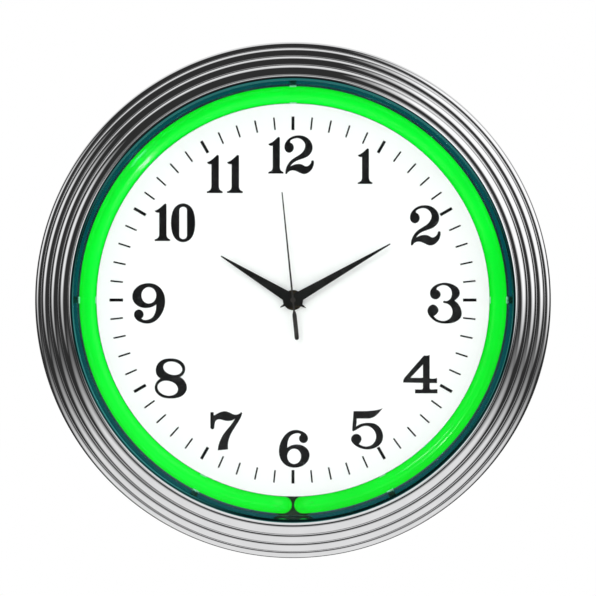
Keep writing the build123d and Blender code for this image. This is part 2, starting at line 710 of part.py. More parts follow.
# ---- Dial numerals: outlines in a box 100 units high, as runs of points ----
# A run of two points is a straight line, and a longer run is a smooth curve.
ONE = [
    [(26.1, 99.6), (30.4, 99.2), (31.5, 95.7)],
    [(31.5, 95.7), (31.5, 17.4)],
    [(31.5, 17.4), (34.2, 9.0), (41.3, 4.3)],
    [(41.3, 4.3), (41.3, 0)],
    [(41.3, 0), (0, 0)],
    [(0, 0), (0, 4.3)],
    [(0, 4.3), (9.4, 9.4), (12.0, 17.4)],
    [(12.0, 17.4), (12.0, 76.1)],
    [(12.0, 76.1), (2.2, 77.8), (0, 81.0)],
    [(0, 81.0), (8.7, 84.8), (17.4, 91.3), (26.1, 99.6)],
]
TWO = [
    [
        (14.9, 81.4), (21.5, 76.6), (24.1, 68.6), (20.9, 59.6), (12.3, 55.1), (3.4, 59.4),
        (0, 68.6), (3.4, 82.1), (14.3, 93.6), (38.2, 100), (58.6, 93.8), (70.9, 78.2),
        (71.8, 62.0), (61.3, 46.8), (35.6, 35.9), (22.6, 28.8), (15.6, 20.0),
    ],
    [(15.6, 20.0), (25.4, 24.4), (36.9, 26.3), (46.4, 24.2), (56.2, 19.9), (64.6, 23.9), (69.2, 33.6)],
    [(69.2, 33.6), (73.2, 35.6), (76.3, 32.0)],
    [
        (76.3, 32.0), (73.6, 17.8), (63.8, 5.1), (51.0, 0), (41.8, 2.2), (31.8, 7.0),
        (21.5, 9.6), (13.0, 7.4), (6.8, 1.0),
    ],
    [(6.8, 1.0), (3.6, 0), (2.3, 2.4)],
    [
        (2.3, 2.4), (5.4, 18.4), (19.0, 37.2), (40.8, 51.3), (50.8, 62.6), (53.4, 75.6),
        (45.9, 87.9), (33.4, 92.9), (22.2, 90.6), (15.1, 85.6), (14.9, 81.4),
    ],
]
THREE = [
    [
        (22.2, 82.6), (29.4, 78.6), (32.2, 71.4), (28.6, 63.2), (20.0, 59.4), (10.4, 63.0),
        (6.1, 73.3), (10.4, 86.2), (25.0, 96.6), (43.9, 100), (62.0, 95.6), (76.6, 84.0),
        (78.6, 71.0), (72.6, 61.6), (66.1, 56.2),
    ],
    [
        (66.1, 56.2), (75.6, 47.6), (82.2, 34.4), (82.6, 18.0), (71.6, 6.0), (46.1, 0),
        (25.6, 2.8), (8.3, 14.4), (0, 31.7), (4.4, 42.0), (13.9, 46.7), (23.4, 41.4),
        (27.0, 32.4), (23.3, 24.4), (15.4, 18.4),
    ],
    [
        (15.4, 18.4), (25.0, 9.6), (38.3, 6.4), (51.6, 10.2), (60.4, 22.2), (60.0, 36.0),
        (53.4, 45.6), (46.6, 49.2), (39.9, 50.4),
    ],
    [(39.9, 50.4), (38.2, 53.4), (41.2, 55.8)],
    [
        (41.2, 55.8), (48.4, 55.6), (55.6, 60.6), (59.6, 71.0), (57.2, 83.8), (49.0, 91.4),
        (38.9, 94.2), (29.4, 91.7), (23.0, 87.0), (22.2, 82.6),
    ],
]
FOUR = [
    [(54.4, 98.6), (61.6, 97.6), (68.8, 99.6)],
    [(68.8, 99.6), (68.8, 38.8)],
    [(68.8, 38.8), (78.4, 38.0), (88.0, 40.0)],
    [(88.0, 40.0), (88.0, 26.4)],
    [(88.0, 26.4), (68.8, 27.0)],
    [(68.8, 27.0), (68.8, 13.6)],
    [(68.8, 13.6), (70.6, 10.8), (74.4, 10.0)],
    [(74.4, 10.0), (89.0, 11.0)],
    [(89.0, 11.0), (89.0, 0)],
    [(89.0, 0), (30.9, 0)],
    [(30.9, 0), (30.9, 10.2)],
    [(30.9, 10.2), (46.0, 10.0)],
    [(46.0, 10.0), (49.8, 10.8), (51.4, 13.6)],
    [(51.4, 13.6), (51.4, 27.0)],
    [(51.4, 27.0), (0, 28.0)],
    [(0, 28.0), (1.4, 36.0), (5.6, 43.0)],
    [(5.6, 43.0), (54.4, 98.6)],
]
FOUR_INSIDE = [
    [(51.4, 40.2), (51.4, 74.6)],
    [(51.4, 74.6), (18.8, 40.2)],
    [(18.8, 40.2), (51.4, 40.2)],
]
FIVE = [
    [(6.0, 93.0), (36.0, 93.0)],
    [(36.0, 93.0), (54.4, 94.4), (66.0, 96.3), (77.0, 100)],
    [(77.0, 100), (68.8, 90.4), (58.6, 80.9), (40.9, 75.0)],
    [(40.9, 75.0), (13.6, 75.0)],
    [(13.6, 75.0), (13.6, 66.0)],
    [(13.6, 66.0), (12.0, 55.6)],
    [
        (12.0, 55.6), (24.0, 62.0), (42.0, 64.6), (60.6, 61.0), (73.5, 47.6), (77.6, 31.0),
        (72.0, 14.2), (58.0, 3.8), (39.1, 0), (16.0, 6.0), (3.7, 15.8), (0, 25.6),
        (4.6, 34.6), (13.0, 37.7), (21.6, 34.0), (25.3, 26.6), (23.6, 19.6), (19.1, 13.4),
    ],
    [
        (19.1, 13.4), (28.0, 8.4), (38.0, 7.0), (51.0, 11.6), (60.0, 25.0), (58.6, 41.6),
        (49.0, 53.0), (36.6, 57.2), (22.6, 53.6), (9.3, 45.8), (4.6, 43.7),
    ],
    [(4.6, 43.7), (2.6, 46.6)],
    [(2.6, 46.6), (6.0, 93.0)],
]
SIX = [
    [
        (59.0, 87.0), (53.6, 78.2), (56.4, 69.6), (65.8, 65.2), (75.0, 70.0), (77.3, 78.6),
        (71.6, 90.0), (59.6, 97.2), (44.6, 100), (26.0, 94.6), (12.0, 80.6), (1.8, 57.0),
        (2.0, 31.0), (12.6, 11.6), (29.0, 1.8), (47.0, 0.4), (66.4, 7.0), (80.0, 24.0),
        (79.4, 43.6), (66.8, 56.9), (50.0, 61.5), (34.4, 59.4), (22.5, 52.6),
    ],
    [(22.5, 52.6), (24.0, 69.0), (31.4, 84.0), (43.6, 90.6), (54.6, 90.4), (59.0, 87.0)],
]
SEVEN = [
    [(1.0, 97.6), (9.2, 97.6)],
    [(9.2, 97.6), (9.8, 88.6)],
    [(9.8, 88.6), (22.6, 96.0), (36.0, 100), (50.0, 96.8), (64.0, 91.2), (72.4, 92.6), (79.6, 98.0)],
    [(79.6, 98.0), (82.6, 95.0)],
    [(82.6, 95.0), (76.0, 78.6), (60.0, 53.6), (48.6, 29.6), (46.4, 2.6)],
    [(46.4, 2.6), (19.8, 0)],
    [(19.8, 0), (24.4, 21.2), (35.0, 42.0), (51.6, 62.6), (63.6, 80.4)],
    [(63.6, 80.4), (51.6, 75.6), (38.0, 76.0), (24.4, 79.3), (16.0, 76.6), (12.0, 67.0), (11.2, 57.0)],
    [(11.2, 57.0), (6.2, 53.6), (1.0, 57.0)],
    [(1.0, 57.0), (1.0, 97.6)],
]
EIGHT = [
    [
        (14.5, 49.9), (4.4, 60.6), (3.6, 78.0), (15.6, 94.4), (39.3, 100), (62.6, 94.8),
        (75.4, 80.0), (74.6, 65.6), (63.1, 53.6),
    ],
    [
        (63.1, 53.6), (76.4, 41.0), (80.3, 25.6), (72.0, 9.6), (39.3, 0), (10.4, 8.0),
        (0, 25.6), (3.6, 39.6), (14.5, 49.9),
    ],
]
NOUGHT = [
    [(0, 50), (2.6, 73), (11.4, 91), (31.2, 100), (51.0, 91), (59.8, 73), (62.4, 50)],
    [(62.4, 50), (59.8, 27), (51.0, 9), (31.2, 0), (11.4, 9), (2.6, 27), (0, 50)],
]
SIX_WIDTH = 81.0


def outline(runs, left, bottom, scale, mode=Mode.ADD):
    """A face from runs of points, moved to its place on the dial and scaled to size."""
    with BuildSketch(mode=Mode.PRIVATE) as shape:
        with BuildLine():
            for run in runs:
                placed = [(left + x * scale, bottom + z * scale) for x, z in run]
                if len(placed) == 2:
                    Line(*placed)
                else:
                    Spline(*placed)
        make_face()
    add(shape.sketch, mode=mode)


def oval(x, z, half_wide, half_tall, tilt, left, bottom, scale):
    """An oval hole in a numeral."""
    with Locations(Location((left + x * scale, bottom + z * scale, 0), (0, 0, tilt))):
        Ellipse(half_wide * scale, half_tall * scale, mode=Mode.SUBTRACT)


def numeral(digit, left, bottom, tall):
    """One printed digit, from the lower left corner of its box and its height."""
    scale = tall / 100
    place = (left, bottom, scale)
    if digit == 9:
        with BuildSketch(mode=Mode.PRIVATE) as turned_six:
            outline(SIX, 0, 0, scale)
            oval(40.7, 30.2, 18.3, 20.3, 0, 0, 0, scale)
        add(turned_six.sketch.moved(Location((left + SIX_WIDTH * scale, bottom + tall, 0), (0, 0, 180))))
        return
    plain = {0: NOUGHT, 1: ONE, 2: TWO, 3: THREE, 4: FOUR, 5: FIVE, 6: SIX, 7: SEVEN, 8: EIGHT}
    outline(plain[digit], *place)
    if digit == 0:
        with Locations((left + 31.3 * scale, bottom + 49.6 * scale)):
            RectangleRounded(19.8 * scale, 83.0 * scale, 9.4 * scale, mode=Mode.SUBTRACT)
    if digit == 4:
        outline(FOUR_INSIDE, *place, mode=Mode.SUBTRACT)
    if digit == 6:
        oval(40.7, 30.2, 18.3, 20.3, 0, *place)
    if digit == 8:
        oval(45.0, 75.4, 24.0, 16.4, -14, *place)
        oval(32.4, 25.6, 25.8, 18.4, -12, *place)


# Each digit with the left and bottom of its box from the clock's axis, and its height.
NUMERALS = [
    (1, -18.2, 93.4, 27.0),
    (2, -6.3, 93.0, 28.6),
    (1, 47.8, 85.7, 26.3),
    (2, 86.4, 40.3, 29.7),
    (3, 99.3, -17.4, 30.2),
    (4, 81.3, -68.9, 28.5),
    (5, 42.9, -110.3, 30.4),
    (6, -10.5, -123.8, 27.9),
    (7, -61.3, -111.0, 28.9),
    (8, -102.1, -72.7, 29.6),
    (9, -118.5, -17.4, 29.9),
    (1, -102.1, 43.6, 27.6),
    (0, -90.1, 42.7, 28.7),
    (1, -63.6, 79.0, 28.1),
    (1, -48.7, 79.0, 28.1),
]
with BuildPart() as dial_numerals:
    with BuildSketch(face_plane(DIAL_FRONT)):
        for digit, left, bottom, tall in NUMERALS:
            numeral(digit, left, bottom, tall)
    extrude(amount=INK)
save(dial_numerals, "dial_numerals")

# ---- Movement: gears run in mesh, all turned by the minute pipe's body ----
THIRD = polar(9.0, 160)
MOTION = polar(9.0, 0)
KNOB = polar(18.0, 0)
RELAY = polar(7.0, 60)
ROTOR = polar(12.28, 60)
WHEEL_TOOTH = (0.27, 0.12)
PINION_TOOTH = (0.20, 0.10)
LEVEL_A = (49.0, 50.0)
LEVEL_B = (47.0, 48.0)
LEVEL_C = (45.0, 46.0)
LEVEL_D = (43.0, 44.0)
LEVEL_E = (39.6, 40.6)
LEVEL_F = (37.6, 38.6)
FRONT_PIVOT = 51.0
BACK_PIVOT = MOVEMENT_BACK
PILLARS = (-11, 17)
COIL_HEIGHT = 46.3


def mesh_phase(teeth, phase, mate_teeth, direction):
    """The angle of a tooth on the mate that puts it in mesh, from the first wheel's own tooth angle."""
    place = teeth * (direction - phase) / 360
    return direction + 180 - (0.5 - place) * 360 / mate_teeth


def gear(centre, teeth, module, phase, level):
    """A spur wheel or pinion with straight-sided teeth and room between them."""
    root_share, tip_share = WHEEL_TOOTH if teeth > 20 else PINION_TOOTH
    root = teeth * module / 2 - module
    tip = teeth * module / 2 + 0.75 * module
    pitch = 360 / teeth
    points = []
    for tooth in range(teeth):
        middle = phase + tooth * pitch
        for radius, share in ((root, -root_share), (tip, -tip_share), (tip, tip_share), (root, root_share)):
            x, z = polar(radius, middle + share * pitch)
            points.append((centre[0] + x, centre[1] + z))
    with BuildSketch(face_plane(level[0])) as profile:
        with BuildLine():
            Polyline(*points, close=True)
        make_face()
    extrude(profile.sketch, amount=level[1] - level[0])


third_pinion_phase = mesh_phase(64, 0, 8, 160)
second_pinion_phase = mesh_phase(60, 0, 8, -20)
relay_pinion_phase = mesh_phase(48, 0, 8, 60)
rotor_pinion_phase = mesh_phase(40, 0, 8, 60)
motion_phase = mesh_phase(12, 0, 36, 0)
hour_phase = mesh_phase(10, 0, 40, 180)
knob_phase = mesh_phase(36, motion_phase, 12, 0)

with BuildPart() as movement_case:
    block(0, 0, MOVEMENT_SIZE, MOVEMENT_SIZE, MOVEMENT_BACK, DIAL_BACK - 0.6, corner=3)
    inside = MOVEMENT_SIZE - 2 * MOVEMENT_WALL
    upper_tall = MOVEMENT_SIZE / 2 - MOVEMENT_WALL - BAY_TOP - MOVEMENT_WALL
    upper_z = (MOVEMENT_SIZE / 2 - MOVEMENT_WALL + BAY_TOP + MOVEMENT_WALL) / 2
    lower_tall = MOVEMENT_SIZE / 2 - MOVEMENT_WALL + BAY_TOP
    lower_z = (BAY_TOP - MOVEMENT_SIZE / 2 + MOVEMENT_WALL) / 2
    block(0, upper_z, inside, upper_tall, MOVEMENT_BACK, 50.4, mode=Mode.SUBTRACT)
    block(0, lower_z, inside, lower_tall, MOVEMENT_BACK, 50.8, mode=Mode.SUBTRACT)
    disc(0, 0, 4.0, DIAL_BACK - 0.6, 57.0)
    disc(0, 0, 2.75, 50.0, 57.0, mode=Mode.SUBTRACT)
    for spot, radius in ((THIRD, 0.45), (MOTION, 0.65), (KNOB, 0.65)):
        disc(*spot, radius, 50.0, 51.0, mode=Mode.SUBTRACT)
save(movement_case, "movement_case")

with BuildPart() as movement_back_cover:
    cover_z = (MOVEMENT_SIZE / 2 + BAY_TOP) / 2
    cover_tall = MOVEMENT_SIZE / 2 - BAY_TOP
    block(0, cover_z, MOVEMENT_SIZE, cover_tall, BACK_PIVOT - COVER_THICKNESS, BACK_PIVOT, corner=2)
    for spot, radius in (((0, 0), 0.45), (THIRD, 0.45), (MOTION, 0.65), (RELAY, 0.45), (ROTOR, 0.45)):
        disc(*spot, radius, BACK_PIVOT - 0.7, BACK_PIVOT, mode=Mode.SUBTRACT)
    disc(*KNOB, 1.55, BACK_PIVOT - COVER_THICKNESS, BACK_PIVOT, mode=Mode.SUBTRACT)
save(movement_back_cover, "movement_back_cover")

with BuildPart() as train_bridge:
    block(0, upper_z + 0.5, 38, 32, 41.4, 42.4, corner=3)
    disc(0, 0, 0.65, 41, 43, mode=Mode.SUBTRACT)
    disc(*THIRD, 0.65, 41, 43, mode=Mode.SUBTRACT)
    disc(*MOTION, 0.9, 41, 43, mode=Mode.SUBTRACT)
    disc(*KNOB, 1.6, 41, 43, mode=Mode.SUBTRACT)
    for spot in (RELAY, ROTOR):
        disc(*spot, 0.45, 41, 43, mode=Mode.SUBTRACT)
    for x in PILLARS:
        disc(x, 23, 2.0, BACK_PIVOT, 50.4)
save(train_bridge, "train_bridge")

with BuildPart() as rotor:
    disc(*ROTOR, 0.4, BACK_PIVOT - 0.6, 42.3)
    gear(ROTOR, 8, 0.22, rotor_pinion_phase, LEVEL_F)
    disc(*ROTOR, 3.2, 39.2, 41.2)
save(rotor, "rotor")

with BuildPart() as relay_wheel:
    disc(*RELAY, 0.4, BACK_PIVOT - 0.6, 42.3)
    gear(RELAY, 40, 0.22, 0, LEVEL_F)
    gear(RELAY, 8, 0.25, relay_pinion_phase, LEVEL_E)
save(relay_wheel, "relay_wheel")

with BuildPart() as seconds_wheel:
    disc(0, 0, 0.4, BACK_PIVOT - 0.6, 62.0)
    gear((0, 0), 48, 0.25, 0, LEVEL_E)
    gear((0, 0), 8, 9 / 34, second_pinion_phase, LEVEL_D)
save(seconds_wheel, "seconds_wheel")

with BuildPart() as third_wheel:
    disc(*THIRD, 0.4, BACK_PIVOT - 0.6, 50.9)
    gear(THIRD, 60, 9 / 34, 0, LEVEL_D)
    gear(THIRD, 8, 0.25, third_pinion_phase, LEVEL_C)
save(third_wheel, "third_wheel")

with BuildPart() as centre_wheel:
    gear((0, 0), 64, 0.25, 0, LEVEL_C)
    disc(0, 0, 1.2, LEVEL_C[0], 60.4)
    gear((0, 0), 12, 0.375, 0, LEVEL_B)
    disc(0, 0, 0.45, LEVEL_C[0], 61, mode=Mode.SUBTRACT)
save(centre_wheel, "centre_wheel")

with BuildPart() as motion_wheel:
    disc(*MOTION, 0.6, BACK_PIVOT - 0.6, 50.9)
    gear(MOTION, 36, 0.375, motion_phase, LEVEL_B)
    gear(MOTION, 10, 0.36, 0, LEVEL_A)
save(motion_wheel, "motion_wheel")

with BuildPart() as hour_wheel:
    gear((0, 0), 40, 0.36, hour_phase, LEVEL_A)
    disc(0, 0, 2.7, LEVEL_A[0], 58.4)
    disc(0, 0, 1.25, 48, 59, mode=Mode.SUBTRACT)
save(hour_wheel, "hour_wheel")

with BuildPart() as setting_knob:
    disc(*KNOB, 0.6, LEVEL_B[1], 50.9)
    gear(KNOB, 12, 0.375, knob_phase, LEVEL_B)
    disc(*KNOB, 1.5, 31, LEVEL_B[0])
    disc(*KNOB, 6.0, 28.5, 32.5)
    for spoke in range(18):
        with BuildSketch(face_plane(28.5)) as flute:
            with Locations((KNOB[0] + 6.2 * cos(radians(20 * spoke)), 6.2 * sin(radians(20 * spoke)))):
                Circle(0.6)
        extrude(flute.sketch, amount=4, mode=Mode.SUBTRACT)
save(setting_knob, "setting_knob")

with BuildPart() as stator:
    with BuildSketch(face_plane(39.8)):
        with Locations((8, 15.5)):
            RectangleRounded(30, 17, 2)
        with Locations(ROTOR):
            Circle(3.6, mode=Mode.SUBTRACT)
        with Locations((8, 18.6)):
            Rectangle(17, 3.2, mode=Mode.SUBTRACT)
        with Locations(RELAY):
            Circle(1.9, mode=Mode.SUBTRACT)
        Circle(7.4, mode=Mode.SUBTRACT)
    extrude(amount=0.9)
    disc(PILLARS[1], 23, 2.05, 39, 41, mode=Mode.SUBTRACT)
save(stator, "stator")

with BuildPart() as coil:
    with BuildSketch(Plane(origin=at(-1, 22.2, COIL_HEIGHT), x_dir=(0, -1, 0), z_dir=(1, 0, 0))):
        RectangleRounded(5.6, 6.0, 1.5)
    extrude(amount=13)
    for x in (-2, 12):
        with BuildSketch(Plane(origin=at(x, 22.2, COIL_HEIGHT), x_dir=(0, -1, 0), z_dir=(1, 0, 0))):
            RectangleRounded(7.0, 7.4, 0.8)
        extrude(amount=1)
save(coil, "coil")

with BuildPart() as circuit_board:
    block(-20, 8.0, 11, 36, 36.6, 37.6)
    block(-20, 12, 5, 5, 37.6, 38.6)
    with BuildSketch(Plane(origin=at(-24, -3, 38.7), x_dir=(0, -1, 0), z_dir=(1, 0, 0))):
        Circle(1.1)
    extrude(amount=6)
save(circuit_board, "circuit_board")

with BuildPart() as battery:
    cell_plane = Plane(origin=at(-24.5, CELL_Z, BATTERY_HEIGHT), z_dir=(1, 0, 0))
    with BuildSketch(cell_plane):
        Circle(BATTERY_RADIUS)
    extrude(amount=48.0)
    fillet(battery.edges().filter_by(GeomType.CIRCLE), 0.6)
    with BuildSketch(cell_plane.offset(48.0)):
        Circle(2.7)
    extrude(amount=1.2)
save(battery, "battery")

with BuildPart() as battery_contacts:
    with BuildSketch(Plane(origin=at(-26.8, CELL_Z, BATTERY_HEIGHT), z_dir=(1, 0, 0))):
        Rectangle(10, 10)
    extrude(amount=0.3)
    with BuildSketch(face_plane(BATTERY_HEIGHT - 2.5)):
        with BuildLine():
            ThreePointArc((-26.5, CELL_Z - 4), (-24.6, CELL_Z), (-26.5, CELL_Z + 4))
            Line((-26.5, CELL_Z + 4), (-26.5, CELL_Z + 3.6))
            ThreePointArc((-26.5, CELL_Z + 3.6), (-24.9, CELL_Z), (-26.5, CELL_Z - 3.6))
            Line((-26.5, CELL_Z - 3.6), (-26.5, CELL_Z - 4))
        make_face()
    extrude(amount=5)
    with BuildSketch(Plane(origin=at(24.7, CELL_Z, BATTERY_HEIGHT), z_dir=(1, 0, 0))):
        Rectangle(10, 10)
    extrude(amount=2.0)
save(battery_contacts, "battery_contacts")

with BuildPart() as rubber_washer:
    ring(4.0, 8.0, DIAL_BACK - 0.6, DIAL_BACK)
save(rubber_washer, "rubber_washer")

with BuildPart() as brass_washer:
    ring(4.05, 7.5, DIAL_FRONT, DIAL_FRONT + 0.5)
save(brass_washer, "brass_washer")

with BuildPart() as hex_nut:
    with BuildSketch(face_plane(DIAL_FRONT + 0.5)):
        RegularPolygon(5.5, 6, major_radius=False)
        Circle(4.0, mode=Mode.SUBTRACT)
    extrude(amount=2.0)
save(hex_nut, "hex_nut")

# ---- Hands ----
HUB_RADIUS = 4.2


def blade(length, half_width, shoulder, tail, sheet):
    """A hand that tapers from its shoulders to the tip, with a hollow-sided tail."""
    with BuildSketch(sheet) as outline:
        with BuildLine():
            Line((0.45, length), (half_width, shoulder))
            ThreePointArc((half_width, shoulder), (half_width * 0.55, shoulder * -0.6), (0.3, -tail))
            Line((0.3, -tail), (-0.3, -tail))
            ThreePointArc((-0.3, -tail), (-half_width * 0.55, shoulder * -0.6), (-half_width, shoulder))
            Line((-half_width, shoulder), (-0.45, length))
            Line((-0.45, length), (0.45, length))
        make_face()
        Circle(HUB_RADIUS)
    extrude(outline.sketch, amount=HAND_SHEET)


with BuildPart() as hour_hand:
    blade(62.2, 4.05, 4.0, 11.0, face_plane(HOUR_HAND_HEIGHT, HOUR_ANGLE))
    disc(0, 0, 3.5, HOUR_HAND_HEIGHT - 0.2, HOUR_HAND_HEIGHT + 0.7)
    disc(0, 0, 2.7, 56, 60, mode=Mode.SUBTRACT)
save(hour_hand, "hour_hand")

with BuildPart() as minute_hand:
    blade(82.8, 3.75, 4.0, 10.9, face_plane(MINUTE_HAND_HEIGHT, MINUTE_ANGLE))
    disc(0, 0, 3.2, MINUTE_HAND_HEIGHT - 0.3, MINUTE_HAND_HEIGHT + 0.9)
    disc(0, 0, 1.2, 58, 61, mode=Mode.SUBTRACT)
save(minute_hand, "minute_hand")

with BuildPart() as second_hand:
    with BuildSketch(face_plane(SECOND_HAND_HEIGHT, SECOND_ANGLE)):
        with BuildLine():
            Polyline(
                (0.45, 79.9),
                (0.75, 0),
                (0.65, -7.5),
                (1.6, -11.0),
                (1.6, -28.2),
            )
            ThreePointArc((1.6, -28.2), (0, -29.6), (-1.6, -28.2))
            Polyline(
                (-1.6, -28.2),
                (-1.6, -11.0),
                (-0.65, -7.5),
                (-0.75, 0),
                (-0.45, 79.9),
                (0.45, 79.9),
            )
        make_face()
        Circle(2.0)
    extrude(amount=0.4)
    disc(0, 0, 1.3, SECOND_HAND_HEIGHT - 0.3, SECOND_HAND_HEIGHT + 1.6)
    disc(0, 0, 0.4, SECOND_HAND_HEIGHT - 1, 62.0, mode=Mode.SUBTRACT)
save(second_hand, "second_hand")
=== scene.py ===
import math

import bpy
from bpy.props import FloatProperty, FloatVectorProperty, IntProperty, PointerProperty
from bpy.types import Operator, Panel, PropertyGroup
from mathutils import Matrix, Vector


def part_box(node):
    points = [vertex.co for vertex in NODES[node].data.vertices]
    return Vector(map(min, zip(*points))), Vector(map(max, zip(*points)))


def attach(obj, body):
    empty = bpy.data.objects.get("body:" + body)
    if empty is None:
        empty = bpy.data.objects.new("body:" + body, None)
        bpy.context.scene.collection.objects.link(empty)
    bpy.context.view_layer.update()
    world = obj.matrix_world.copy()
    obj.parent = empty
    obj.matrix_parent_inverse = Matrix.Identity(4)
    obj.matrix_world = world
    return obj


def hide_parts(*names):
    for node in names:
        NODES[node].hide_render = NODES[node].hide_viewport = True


bl_info = {
    "name": "Neon Wall Clock",
    "version": (1, 0, 0),
    "blender": (4, 5, 0),
    "location": "3D View > Sidebar > Wall Clock",
    "description": "Dresses a chrome wall clock with a lit ring in its finishes",
    "category": "Object",
}

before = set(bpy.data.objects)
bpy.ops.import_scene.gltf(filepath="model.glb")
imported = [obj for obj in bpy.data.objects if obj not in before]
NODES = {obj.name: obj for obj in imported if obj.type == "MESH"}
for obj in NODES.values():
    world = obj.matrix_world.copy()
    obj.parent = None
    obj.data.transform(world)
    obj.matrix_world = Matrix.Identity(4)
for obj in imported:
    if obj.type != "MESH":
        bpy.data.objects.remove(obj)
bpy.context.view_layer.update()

# The clock's middle is the bezel's. Heights are in front of the wall, along -Y.
BEZEL_LOW, BEZEL_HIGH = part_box("bezel_ring")
CENTRE = (BEZEL_LOW + BEZEL_HIGH) / 2


# ---- Settings ----


class CaseSettings(PropertyGroup):
    chrome: FloatVectorProperty(
        name="Chrome",
        description="Colour of the plated bezel",
        subtype="COLOR",
        default=(0.92, 0.92, 0.93),
    )
    # The lip's dark teal plating colour is a painted reflection of the lit tube's glow, not the chrome's
    # own colour.
    lip_painted_glow: FloatVectorProperty(
        name="Lip painted glow",
        description="Colour of the bezel's inner lip, beside the lit ring",
        subtype="COLOR",
        default=(0.03, 0.20, 0.19),
    )
    plastic: FloatVectorProperty(
        name="Housing plastic",
        description="Colour of the moulded rear housing",
        subtype="COLOR",
        default=(0.011, 0.011, 0.012),
    )
    turns: IntProperty(
        name="Bezel steps",
        description="Faces round the bezel",
        default=720,
        min=96,
        max=1440,
    )
    bead_steps: IntProperty(
        name="Bead steps",
        description="Faces across each bead of the bezel",
        default=20,
        min=6,
        max=48,
    )


class DialSettings(PropertyGroup):
    white: FloatVectorProperty(
        name="Dial white",
        description="Colour of the dial",
        subtype="COLOR",
        default=(0.93, 0.93, 0.93),
    )
    ink: FloatVectorProperty(
        name="Ink",
        description="Colour of the printed numbers and ticks",
        subtype="COLOR",
        default=(0.0015, 0.0015, 0.0018),
    )
    hands: FloatVectorProperty(
        name="Hands",
        description="Colour of the hands",
        subtype="COLOR",
        default=(0.0015, 0.0015, 0.0015),
    )


class TubeSettings(PropertyGroup):
    glow: FloatVectorProperty(
        name="Glow",
        description="Colour of the lit tube's front",
        subtype="COLOR",
        default=(0.002, 0.80, 0.008),
    )
    back_glow: FloatVectorProperty(
        name="Back glow",
        description="Colour of the lit tube's uncoated back",
        subtype="COLOR",
        default=(0.0, 0.115, 0.12),
    )
    strength: FloatProperty(
        name="Strength",
        description="How brightly the tube is lit",
        default=1.0,
        min=0.0,
        max=20.0,
    )
    # The channel's cyan plating colour paints the tube's glow reflected in it; the tube's own light
    # reflects there as well.
    channel: FloatVectorProperty(
        name="Channel",
        description="Colour of the bright channel behind the tube",
        subtype="COLOR",
        default=(0.35, 0.72, 0.80),
    )


class StageSettings(PropertyGroup):
    view_width: FloatProperty(
        name="View width",
        description="Width that the camera sees at the clock",
        default=0.4401,
        unit="LENGTH",
    )
    lens: FloatProperty(
        name="Lens",
        description="Focal length of the camera",
        default=300.0,
        unit="CAMERA",
    )
    floor_drop: FloatProperty(
        name="Floor drop",
        description="From the clock's middle down to the floor",
        default=0.9,
        unit="LENGTH",
    )
    light: FloatProperty(
        name="Soft light",
        description="Brightness of the soft light all round",
        default=1.22,
        min=0.0,
        max=10.0,
    )
    background: FloatVectorProperty(
        name="Background",
        description="Colour seen behind the clock",
        subtype="COLOR",
        default=(1.0, 1.0, 1.0),
    )


# ---- Shader node groups ----


def new_group(name, inputs, outputs):
    """A shader node group with its named sockets, and its two end nodes."""
    tree = bpy.data.node_groups.new(name, "ShaderNodeTree")
    for label, kind, value in inputs:
        socket = tree.interface.new_socket(name=label, in_out="INPUT", socket_type=kind)
        if value is not None:
            socket.default_value = value
    for label, kind in outputs:
        tree.interface.new_socket(name=label, in_out="OUTPUT", socket_type=kind)
    return tree, tree.nodes.new("NodeGroupInput"), tree.nodes.new("NodeGroupOutput")


def math_node(tree, operation, first, second=None, clamp=False):
    """A maths node whose inputs are sockets or numbers."""
    node = tree.nodes.new("ShaderNodeMath")
    node.operation = operation
    node.use_clamp = clamp
    for index, value in enumerate((first, second)):
        if value is None:
            continue
        if isinstance(value, (int, float)):
            node.inputs[index].default_value = value
        else:
            tree.links.new(value, node.inputs[index])
    return node.outputs[0]


def noise(tree, vector, scale, detail=4.0, roughness=0.5):
    """A noise texture's value, from a vector socket and a scale that is a socket or a number."""
    node = tree.nodes.new("ShaderNodeTexNoise")
    node.inputs["Detail"].default_value = detail
    node.inputs["Roughness"].default_value = roughness
    tree.links.new(vector, node.inputs["Vector"])
    if isinstance(scale, (int, float)):
        node.inputs["Scale"].default_value = scale
    else:
        tree.links.new(scale, node.inputs["Scale"])
    return node.outputs["Fac"]


def remap(tree, value, low, high, to_low, to_high):
    """A value moved from one range to another, held inside it."""
    node = tree.nodes.new("ShaderNodeMapRange")
    tree.links.new(value, node.inputs["Value"])
    for name, number in (("From Min", low), ("From Max", high), ("To Min", to_low), ("To Max", to_high)):
        if isinstance(number, (int, float)):
            node.inputs[name].default_value = number
        else:
            tree.links.new(number, node.inputs[name])
    return node.outputs["Result"]


def blend_colours(tree, share, first, second):
    """A mix of two colours, each a socket or a plain colour."""
    node = tree.nodes.new("ShaderNodeMix")
    node.data_type = "RGBA"
    tree.links.new(share, node.inputs["Factor"])
    for name, colour in (("A", first), ("B", second)):
        socket = next(s for s in node.inputs if s.name == name and s.type == "RGBA")
        if isinstance(colour, bpy.types.NodeSocket):
            tree.links.new(colour, socket)
        else:
            socket.default_value = (*colour[:3], 1.0)
    return next(s for s in node.outputs if s.type == "RGBA")


def object_place(tree):
    """A point's place in the clock's own frame."""
    return tree.nodes.new("ShaderNodeTexCoord").outputs["Object"]


def grain_group():
    """Fine grain all over a surface: a height for the bump, and a shade from 0 to 1."""
    inputs = [("Scale", "NodeSocketFloat", 900.0), ("Shade scale", "NodeSocketFloat", 40.0)]
    outputs = [("Height", "NodeSocketFloat"), ("Shade", "NodeSocketFloat")]
    tree, start, end = new_group("Fine grain", inputs, outputs)
    place = object_place(tree)
    tree.links.new(noise(tree, place, start.outputs["Scale"], 6.0, 0.6), end.inputs["Height"])
    broad = noise(tree, place, start.outputs["Shade scale"], 3.0, 0.55)
    tree.links.new(remap(tree, broad, 0.3, 0.7, 0.0, 1.0), end.inputs["Shade"])
    return tree


# Pointiness where wear starts and where it is full: a flat surface has 0.5.
EDGE_STARTS = 0.52
EDGE_FULL = 0.62


